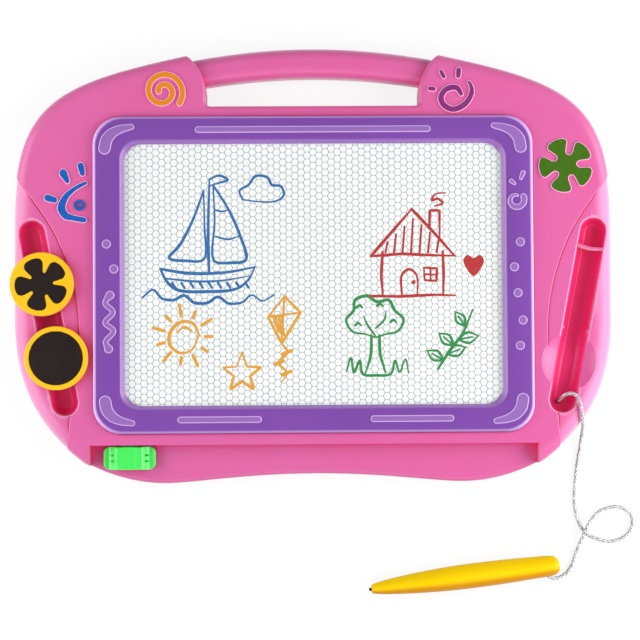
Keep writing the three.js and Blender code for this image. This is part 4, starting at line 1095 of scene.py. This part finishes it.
def ribbon(line, width, top):
    """A flat stroke with round ends, a slightly uneven width and a top that rises on its way."""
    radius = width / 2
    start = (line[0] - line[1]).normalized()
    end = (line[-1] - line[-2]).normalized()
    cap = [(radius * 0.98, 0.2), (radius * 0.87, 0.5), (radius * 0.5, 0.87)]
    places = [(line[0] + start * reach, share) for reach, share in cap] + [(p, 1) for p in line]
    places += [(line[-1] + end * reach, share) for reach, share in reversed(cap)]
    levels = []
    for i, (p, share) in enumerate(places):
        way = places[min(i + 1, len(places) - 1)][0] - places[max(i - 1, 0)][0]
        press = 0.6 + 0.55 * math.sin(math.pi * min(1, (i + 1) / len(places) * 1.15))
        press += 0.05 * random.uniform(-1, 1)
        side = point(-way.y, way.x).normalized() * radius * share * press
        height = top + 0.006 * i / len(places)
        levels.append([
            (*(p + side), ink_foot), (*(p - side), ink_foot), (*(p - side), height), (*(p + side), height),
        ])
    return skinned(levels)


def draw(name, code, lines, *solids):
    """One colour of the drawings.

    Its ink is coloured iron powder, ground fine: a dull even tone, thinner here and there, where the white
    fluid shows through. The grains are drawn coarser than they are.
    """
    material, tree, shader, place = started(name + "_iron_powder", Roughness=0.6, Specular_IOR_Level=0.2)
    powder = add(tree, "TexVoronoi", {"Vector": place, "Scale": repeats(0.385)})["Color"]
    grains = varied(tree, powder, 0.3, 1.0, 0.0, 0.06)
    patches = add(tree, "TexNoise", {"Vector": place, "Scale": repeats(3.33), "Detail": 3})["Fac"]
    thin = varied(tree, patches, 0.5, 0.85, 0.0, 0.1)
    share = add(tree, "Math", {0: grains, 1: thin}, operation="MAXIMUM")["Value"]
    tone = add(tree, "Mix", {
        "Factor": share, "A": colour(code), "B": colour("#E9EEEC"),
    }, data_type="RGBA")["Result"]
    plug(tree, shader, {"Base Color": tone})
    strokes = [
        ribbon(line, width * stroke_weight, ink_top + number % 12 * 0.004)
        for number, (line, width) in enumerate(lines)
    ]
    finish(link("drawing_" + name, together(*strokes, *solids)), "board", "cells", material)


draw("blue", "#0565A8", [
    curve(1.3, (-104, -3), (-84, -6), (-60, -5.5), (-40, -2)),
    curve(1.3, (-104, -3), (-100, -11), (-93, -17), (-72, -18.5), (-52, -16.5), (-44, -10), (-40, -2)),
    curve(0.9, (-100, -9.5), (-80, -11.5), (-62, -11), (-43.5, -8)),
    curve(1.2, (-71, -5), (-71.5, 20), (-70.5, 58)),
    curve(1.2, (-68, 54), (-58, 38), (-50, 20), (-46, 3), (-57, 1), (-67.5, 2.5), (-67, 30), (-68, 54)),
    curve(0.8, (-66.5, 37), (-62, 36), (-58, 37)),
    curve(0.8, (-66.5, 19), (-58, 17), (-51, 19)),
    curve(1.2, (-74.5, 50), (-82, 30), (-91, 13), (-98, 4.5), (-86, 2.5), (-74.5, 3.5), (-74, 26),
          (-74.5, 50)),
    curve(1.0, (-70.5, 58), (-64, 60.5), (-58, 57.5), (-64, 55.5), (-70.5, 53.5)),
    curve(1.2, (-116, -22), (-109, -17), (-103, -23), (-95, -24), (-88, -21), (-81, -26), (-72, -26),
          (-65, -22), (-58, -26.5), (-49, -26), (-42, -21), (-35, -25), (-27, -21)),
    curve(1.1, (-48, 44), (-50, 50), (-44, 54), (-39, 60), (-31, 59), (-28, 54), (-22, 53), (-20, 47),
          (-25, 43), (-36, 42.5), (-48, 44)),
    *[dash(1.0, (-96 + 6.2 * step, -12.5), (-93.8 + 6.2 * step, -16)) for step in range(9)],
])

roof_tiles = [49 + 5.8 * step for step in range(7)]
heart = ((109, -9), (114.2, -3.2), (116, 2), (113.2, 5.6), (109, 3.4), (104.8, 5.6), (102, 2), (103.8, -3.2))
draw("red", "#B80C18", [
    sides(1.2, (47, 8), (46, -8), (47, -22)),
    sides(1.2, (38, -22), (58, -22.5), (82, -21.5), (96, -22)),
    sides(1.2, (88, 8), (88.5, -8), (88, -22)),
    sides(1.3, (39, 5), (53, 21), (67, 37)),
    sides(1.3, (67, 37), (82, 21), (96, 5)),
    sides(1.2, (39, 5), (60, 6.5), (80, 5.5), (96, 5)),
    sides(1.2, (79, 25), (79.5, 36), (86, 36), (86, 17)),
    curve(1.0, (83, 39), (88, 41), (85, 44), (81, 43), (83, 47), (90, 48)),
    curve(1.1, (60, -22), (60, -8), (65, -4), (70, -8), (70.5, -22)),
    sides(1.0, (75, -3), (84, -3.5), (83.5, -12), (75.5, -11.5), (75, -3)),
    sides(0.8, (79.5, -3), (79.5, -12)),
    sides(0.8, (75, -7.5), (84, -7.8)),
    *[dash(0.9, (x, 7.5), (x + 1.5, 7.5 + min(x - 41, 93 - x) * 0.9)) for x in roof_tiles],
    (circle(point(68, -13), 0.8, 12), 0.9),
], prism(smooth_line([point(*corner) for corner in heart], 8, closed=True), ink_foot, ink_top))

sun = point(-88, -49)
sun_rays = []
for ray in range(11):
    way = toward(ray * math.tau / 11)
    sun_rays.append(([sun + way * 14, sun + way * (19 + ray % 2 * 3)], 1.3))
draw("yellow", "#E29E00", [
    curve(1.4, (-78, -48), (-82, -40), (-90, -39), (-97, -45), (-98, -54), (-91, -60), (-83, -58),
          (-78, -48)),
    sides(1.2, (-49, -60), (-45.5, -69.5), (-36, -70), (-43.5, -76), (-41, -85), (-49, -79.5), (-57, -85),
          (-54.5, -76), (-62, -70), (-52.5, -69.5), (-49, -60)),
    sides(1.2, (-20, -22), (-9, -33), (-22, -54), (-31, -36), (-20, -22)),
    sides(0.9, (-20, -22), (-22, -54)),
    sides(0.9, (-31, -36), (-9, -33)),
    curve(1.0, (-22, -54), (-18, -60), (-24, -67), (-18.5, -74), (-22, -80)),
    *sun_rays,
    curve(1.0, (-83, -45), (-88, -42.5), (-93, -46), steps=5),
    *[dash(1.5, (x - 3, y - 1.2), (x + 3, y + 1.2)) for x, y in ((-18.2, -60), (-23.8, -67), (-18.7, -74))],
    *[dash(0.8, (-28 + 2 * step, -35), (-24 + 1.3 * step, -46 - step)) for step in range(4)],
])

leaves = []
for x, y, degrees, length in ((88, -66, 150, 13), (90, -62, 20, 14), (95, -56, 140, 13), (98, -52, 10, 14),
                              (103, -43, 125, 12)):
    base, way = point(x, y), toward(math.radians(degrees))
    for turn in (-1, 1):
        belly = base + way * length * 0.5 + point(-way.y, way.x) * length * 0.26 * turn
        leaves.append(curve(1.0, base, belly, base + way * length))
    leaves.append(([base, base + way * length * 0.7], 0.8))
fruits = (31, -30), (45, -29), (54, -40), (30, -42)
draw("green", "#068A3C", [
    curve(1.3, (35, -48), (26, -46), (22, -38), (27, -32), (28, -25), (36, -22), (43, -26), (51, -25),
          (55, -32), (61, -38), (57, -46), (49, -48), (42, -50), (35, -48)),
    curve(1.2, (39, -49), (38.5, -62), (35, -74)),
    curve(1.2, (44.5, -49), (45, -62), (48.5, -74)),
    curve(0.9, (41.5, -49), (36, -41), (34, -36)),
    curve(0.9, (42, -44), (48, -38), (49, -33)),
    curve(1.1, (22, -73), (25, -64), (27, -74), (31, -66), (33, -75), (42, -76), (52, -75), (55, -66),
          (58, -74), (62, -65), (64, -74)),
    curve(1.2, (84, -72), (92, -60), (101, -48), (108, -32)),
    *leaves,
    *[curve(1.1, (x - 2, y), (x, y + 1.6), (x + 2, y), steps=4) for x, y in fruits],
])

# Eraser: a saddle-shaped knob of green ABS that slides along the foot. Its neck goes through the slot to a
# carrier under the panel, with a strip of rubber magnet that pulls the powder away from the film.
knob_length, knob_width, knob_height = 35.4, 15.7, 8.6
knob_foot, knob_back = foot_top + rub, riser_y - 1
knob_saddle = (
    (0, 0.9), (0.17, 0.91), (0.29, 0.97), (0.39, 1), (0.49, 0.95), (0.6, 0.74), (0.7, 0.52), (0.8, 0.42),
    (0.89, 0.43), (0.95, 0.49), (0.99, 0.44), (1, 0.1),
)  # shares of half the length and of the height
dimple_spacing = 2.0
neck_top = 16.4


def ferrite_rubber(name):
    """Ferrite powder in rubber, rolled into sheet and cut: a nearly black brown, dull and grainy.

    The grains are drawn coarser than they are.
    """
    material, tree, shader, place = started(name, Specular_IOR_Level=0.2)
    powder = add(tree, "TexVoronoi", {"Vector": place, "Scale": repeats(0.667)})["Color"]
    tone = varied(tree, powder, 0.2, 0.9, colour("#1B1210"), colour("#33251F"), 0.3)
    clouds = add(tree, "TexNoise", {"Vector": place, "Scale": repeats(16.7), "Detail": 3})["Fac"]
    tone = varied(tree, clouds, 0.4, 0.8, tone, colour("#3A2C26"), 0.25)
    wear = add(tree, "TexNoise", {"Vector": place, "Scale": repeats(2.0), "Detail": 3})["Fac"]
    dull = varied(tree, wear, 0.3, 0.7, 0.5, 0.68)
    pits = add(tree, "TexVoronoi", {"Vector": place, "Scale": repeats(0.833)})["Distance"]
    relief = add(tree, "Bump", {"Height": pits, "Distance": 0.06 * MM, "Strength": 0.6})["Normal"]
    plug(tree, shader, {"Base Color": tone, "Roughness": dull, "Normal": relief})
    return material


def along_y(mesh):
    """Stands an outline in X and Z, and its length along Y."""
    mesh.transform(Matrix(((1, 0, 0, 0), (0, 0, -1, 0), (0, 1, 0, 0), (0, 0, 0, 1))))
    return mesh


# Painted shade: a deeper green where hollows are shut in within 4 mm
green_abs = moulded("green_moulded_abs", "#48F460", "#10C034", "#D4FFCC", 0.26, 0.75, 4.0, Coat_Weight=0.5)
magnet_rubber = ferrite_rubber("brown_ferrite_rubber")

right_side = [point(x * knob_length / 2, knob_foot + up * knob_height) for x, up in knob_saddle]
right_side = smooth_line(right_side, 8)
right_side.append(point(knob_length / 2, knob_foot))
saddle = along_y(prism(with_mirror(right_side[::-1]), -knob_back - overrun, 2 * half_width))
knob_plan = rounded_rectangle(point(knob_length / 2, knob_width / 2), 4.5, knob_back - knob_width / 2, 12)
knob = common(saddle, slab(knob_plan, [
    (seat, knob_foot), (0, knob_foot + seat), *round_top(1.8, 1.8, knob_foot + knob_height, 6),
]))
for side in (-1, 1):
    for row in (-1, 1):
        y = knob_back - knob_width / 2 + row * dimple_spacing
        ends = [point(side * knob_length / 2 * share, y) for share in (0.62, 0.8)]
        dimple = prism(band(ends, [1.3, 0.8], 6), knob_foot + knob_height * 0.46, knob_foot + knob_height + 3)
        knob = cut(knob, dimple)
knob = link("eraser_knob_fine", knob)
change = knob.modifiers.new("even", "REMESH")
change.mode = "VOXEL"
change.voxel_size = 0.24 * MM
change = knob.modifiers.new("soft", "SMOOTH")
change.factor = 0.5
change.iterations = 5
applied(knob)
knob.data = cut(knob.data, box(
    (-neck_half - seat, knob_back - knob_width * 0.68 - seat, knob_foot - overrun),
    (neck_half + seat, knob_back + overrun, neck_top),
))
knob.data.transform(Matrix.Translation(Vector((-eraser_reach, 0, 0)) * MM))
finish(soften(knob, 50, weighted=False), "eraser", "green_slider", green_abs, "eraser_knob")
dress("eraser_carrier", green_abs)
dress("eraser_magnet", magnet_rubber)

# Back cover: one moulding of the same pink ABS, with a lip that finds its place in the housing, two rails
# for the eraser's carrier and nine screw wells.
cover_edge, cover_floor = 4.0, 2.4
lip_thickness = 1.6
rail_half, rail_width, rail_top = eraser_reach + 8.5, 2.0, 12.3
cover_joint = 1.2  # how deep the lip and the rails reach into the floor
boss_radius, boss_top = 4.8, 5.8
well_radius, well_bevel, well_top = 3.2, 0.6, 4.2


def cover_room(thickness, bottom, top):
    profile = [(thickness, bottom), (thickness, top)]
    return inner_room(thickness, profile, profile, bottom, top)


cover_top = seam_height - seat
turns = [step / 8 * math.pi / 2 for step in range(9)]
cover_profile = [(cover_edge * (1 - math.sin(a)), cover_edge * (1 - math.cos(a))) for a in turns]
cover_form = union(
    cut(slab(body, [*cover_profile, (0, cover_top)]), prism(notch, -overrun, housing_top)),
    slab(bar, [*cover_profile, (0, cover_top)]),
)
cover_lip = cut(
    cover_room(wall + rub, cover_joint, seam_height + 2),
    cover_room(wall + rub + lip_thickness, cover_floor, housing_top),
)
for outline in (tray, flipped(tray)):
    cover_lip = cut(cover_lip, prism(inset(outline, -wall - seat), seam_height, housing_top))
cover = union(cut(cover_form, cover_room(wall, cover_floor, housing_top)), cover_lip)
for side in (-1, 1):
    rail_front = screen_y + side * (window_half.y + 5) - rail_width / 2
    cover = union(cover, box(
        (-rail_half, rail_front, cover_joint), (rail_half, rail_front + rail_width, rail_top),
    ))
for spot in screw_places:
    cover = union(cover, turned([(boss_radius, cover_joint), (boss_radius, boss_top)], spot, 32))
for spot in screw_places:
    mouth = well_radius + well_bevel
    well = turned([(mouth, -overrun), (mouth, 0), (well_radius, well_bevel), (well_radius, well_top)], spot)
    cover = cut(cover, well, turned([(screw_hole_radius, 0), (screw_hole_radius, housing_top)], spot, 24))
finish(soften(link("back_cover_fine", cover)), "board", "pink_shell", pink_abs, "back_cover")

# Cover screws: nine self-tapping screws of zinc-plated steel with pan heads and cross recesses. They go up
# through the cover's wells into the housing's bosses.
screw_head = [(0.6, 2.2), (1.6, 2.25), (2.2, 2.45), (2.55, 2.8), (2.7, 3.2), (2.7, 3.9), (1.4, 3.9)]
screw_shank = [(1.4, 4.1), (1.4, 8.9), (0.5, 10.3)]  # radii and heights, as in the head

# Bright zinc over cold-formed steel: a cool metal, brighter and darker in small patches, with a faint grain
steel, tree, shader, place = started("zinc_plated_steel", Metallic=1.0)
patches = add(tree, "TexNoise", {"Vector": place, "Scale": repeats(1.43), "Detail": 3})["Fac"]
tone = varied(tree, patches, 0.3, 0.7, colour("#9A9DA1"), colour("#C6C8CB"))
wear = add(tree, "TexNoise", {"Vector": place, "Scale": repeats(0.833), "Detail": 2})["Fac"]
dull = varied(tree, wear, 0.3, 0.7, 0.28, 0.42)
grain = add(tree, "TexNoise", {"Vector": place, "Scale": repeats(0.25), "Detail": 2})["Fac"]
relief = add(tree, "Bump", {"Height": grain, "Distance": 0.02 * MM, "Strength": 0.5})["Normal"]
plug(tree, shader, {"Base Color": tone, "Roughness": dull, "Normal": relief})

for number, spot in enumerate(screw_places, 1):
    screw = turned(screw_head + screw_shank, spot, 40)
    for turn in (0.3, 0.3 + math.pi / 2):
        way = toward(turn + number)
        recess = band([spot - way * 1.2, spot + way * 1.2], [0.75, 0.75], 4)
        screw = cut(screw, slab(recess, [(0, 1.0), (0, 2.5), (0.2, 3.5)]))
    screw = soften(link(f"cover_screw_{number}_fine", screw), 40)
    finish(screw, "board", "screw_steel", steel, f"cover_screw_{number}")

# Stamps: each a round disc of yellow ABS on a turned grip that hangs in the left tray. A flat magnet is
# pressed into a recess in its face, one shaped like a flower and one round.
stamp_foot = housing_top + seat
stamp_thickness = 4.3
stamp_top = stamp_foot + stamp_thickness
stamp_radius, stamp_edge = 21.6, 0.9
magnet_gap = 0.2
stamp_play = 0.8  # towards the screen
grip_radius, grip_depth = 7.3, 12.4
magnet_top = stamp_top + 0.2
magnet_foot = magnet_top - 1.2
grip_shares = ((0.42, 0), (0.71, 0.1), (0.95, 0.28), (1, 0.38), (0.92, 0.47), (0.55, 0.6), (0.55, 0.85))
petal_shares = (
    (0.42, 0), (0.46, 7.5), (0.62, 9.3), (0.86, 11.8), (0.97, 19),
    (1, 36), (0.97, 53), (0.86, 60.2), (0.62, 62.7), (0.46, 64.5),
)


def stamp_place(share):
    place = tray_point(share)
    return point(stamp_play - place.x, place.y)


# Painted shade: a deeper yellow where hollows are shut in within 4 mm
yellow_abs = moulded("yellow_moulded_abs", "#FFC80E", "#EE9E00", "#FFF1A8", 0.33, 0.5, 4.0, Coat_Weight=0.1)

grip = smooth_line([point(grip_radius * x, stamp_foot - grip_depth * (1 - up)) for x, up in grip_shares], 6)
disc_edge = [(stamp_radius - d, h) for d, h in round_top(stamp_edge, stamp_edge, stamp_top, 6)]
stamp_profile = [
    *[(p.x, p.y) for p in grip], (4.7, stamp_foot - 0.5), (5.2, stamp_foot),
    *[(radius, stamp_foot + stamp_top - height) for radius, height in reversed(disc_edge)], *disc_edge,
]
flower_place, round_place = stamp_place(0.303), stamp_place(0.738)
magnet_shapes = (
    ("stamp_flower", flower_place, moved(flower_outline(17.8, petal_shares), flower_place)),
    ("stamp_round", round_place, circle(round_place, 18.0, 96)),
)
for stamp, centre, outline in magnet_shapes:
    recess = slab(inset(outline, -magnet_gap), [
        (0, magnet_foot), *outwards(round_top(0.25, 0.25, stamp_top, 3)), (-0.25, stamp_top + 2),
    ])
    grip_piece = soften(link(stamp + "_body_fine", cut(turned(stamp_profile, centre, 128), recess)), 38)
    finish(grip_piece, stamp, "yellow_stamp", yellow_abs, stamp + "_body")
    magnet = slab(outline, [(0, magnet_foot), *round_top(0.3, 0.3, magnet_top, 4)])
    finish(soften(link(stamp + "_magnet_fine", magnet)), stamp, "magnet", magnet_rubber, stamp + "_magnet")

# Pen: a hollow barrel of yellow ABS with three soft ridges, fattest in the middle, and a small magnet nib
# pressed into its tip. The cord goes into its tail. It lies on the table.
pen_length, pen_radius, pen_sides = 129.8, 8.2, 72
pen_ridge = 0.065
pen_tip, pen_turn = Vector((38.5, -222.4, 0)), math.radians(6.86)
pen_lift = 0.06  # above the table
bore_radius, bore_depth = 1.4, 6.5
pen_shares = (
    (0, 0.31), (0.006, 0.37), (0.056, 0.54), (0.162, 0.73), (0.324, 0.92), (0.482, 1.01), (0.696, 0.99),
    (0.863, 0.9), (0.94, 0.85), (0.975, 0.76), (0.994, 0.55), (1, 0.27),
)
nib_profile = [(0.35, -1.8), (0.75, -1.72), (1.0, -1.45), (1.1, -1.0), (1.1, 6.2)]


def pen_section(radius):
    """Round with three soft ridges, the upper one on top."""
    angles = [math.tau * i / pen_sides for i in range(pen_sides)]
    return [toward(a, radius * (1 + pen_ridge * math.cos(3 * (a - math.radians(98))))) for a in angles]


def placed_pen(mesh):
    place = Matrix.Translation((pen_tip + Vector((0, 0, pen_lift - pen_low))) * MM)
    along_x(mesh).transform(place @ Matrix.Rotation(pen_turn, 4, "Z"))
    return mesh


# The same plastic, moulded in a blasted mould: duller, with a deeper orange painted on the side that turns
# away from the light, a painted shade
matt_yellow_abs = moulded(
    "yellow_blasted_abs", "#FFD800", "#E89E00", "#FFE840", 0.42, 0.1, Specular_IOR_Level=0.15,
)

pen_low = min(p.y for _, share in pen_shares for p in pen_section(pen_radius * share))
pen_line = smooth_line([point(along * pen_length, across * pen_radius) for along, across in pen_shares], 7)
# Painted shade: these marks give the barrel's side that turns away from the light the deeper orange
shaded_side = [clamped((-math.cos(math.tau * i / pen_sides) - 0.05) / 0.4) for i in range(pen_sides)]
barrel_rings = [[(*spot, p.x) for spot in pen_section(p.y)] for p in pen_line]
barrel = placed_pen(skinned(barrel_rings, marks=[shaded_side] * len(pen_line), mark="hollow"))
nib_bore = placed_pen(turned([(bore_radius, -overrun), (bore_radius, bore_depth)], sides=24))
cord_bore = turned([(cord_hole_radius, -overrun), (cord_hole_radius, seat)], sides=24)
near_tail, at_tail = (Vector(corner) for corner in cord_way[-2:])
cord_turn = (at_tail - near_tail).to_track_quat("Z", "Y").to_matrix().to_4x4()
cord_bore.transform(Matrix.Translation(at_tail * MM) @ cord_turn)
barrel = soften(link("pen_barrel_fine", cut(barrel, nib_bore, cord_bore)), 40)
finish(barrel, "pen", "yellow_pen", matt_yellow_abs, "pen_barrel")
nib = soften(link("pen_nib_fine", placed_pen(turned(nib_profile, sides=32))))
finish(nib, "pen", "magnet", magnet_rubber, "pen_nib")

# Table and light: a plain pale table, and a studio with a soft box on each side and one in front. The table
# glows for the eye, so that it stays even and pale while the board still throws its shadow on it.
floor_half = 3.0  # metres
softboxes = (
    ("right", (820, -40, 400), (1000, 560), 9.0),
    ("left", (-820, -20, 400), (1000, 560), 6.2),
    ("front", (0, -950, 700), (900, 400), 2.4),
)

# Matt laminate, pressed: an even pale grey without shine
laminate, tree, shader, place = started(
    "matt_pressed_laminate", Roughness=0.9, Specular_IOR_Level=0.1, Emission_Strength=0.82,
)
clouds = add(tree, "TexNoise", {"Vector": place, "Scale": repeats(333), "Detail": 2})["Fac"]
tone = add(tree, "Mix", {
    "Factor": clouds, "A": colour("#7A7A7A"), "B": colour("#787878"),
}, data_type="RGBA")["Result"]
rays = add(tree, "LightPath", {})
seen = add(tree, "Math", {
    0: rays["Is Glossy Ray"], 1: rays["Is Transmission Ray"],
}, operation="MAXIMUM")["Value"]
seen = add(tree, "Math", {0: rays["Is Camera Ray"], 1: seen}, operation="MAXIMUM")["Value"]
glow = add(tree, "Mix", {"Factor": seen, "A": (0, 0, 0, 1), "B": (1, 1, 1, 1)}, data_type="RGBA")
plug(tree, shader, {"Base Color": tone, "Emission Color": glow["Result"]})

work = bmesh.new()
bmesh.ops.create_grid(work, x_segments=1, y_segments=1, size=floor_half)
floor_mesh = bpy.data.meshes.new("floor")
work.to_mesh(floor_mesh)
work.free()
floor = link("stage_floor", floor_mesh)
floor.data.materials.append(laminate)

world = bpy.data.worlds.new("studio")
world.use_nodes = True
world.node_tree.nodes["Background"].inputs["Color"].default_value = (1, 1, 1, 1)
world.node_tree.nodes["Background"].inputs["Strength"].default_value = 0.34
scene.world = world
for name, place, size, power in softboxes:
    light = bpy.data.lights.new("softbox_" + name, "AREA")
    light.shape = "RECTANGLE"
    light.size, light.size_y = (side * MM for side in size)
    light.energy = power
    lamp = link("softbox_" + name, light)
    lamp.location = Vector(place) * MM
    lamp.rotation_euler = lamp.location.to_track_quat("Z", "Y").to_euler()

bpy.context.view_layer.update()
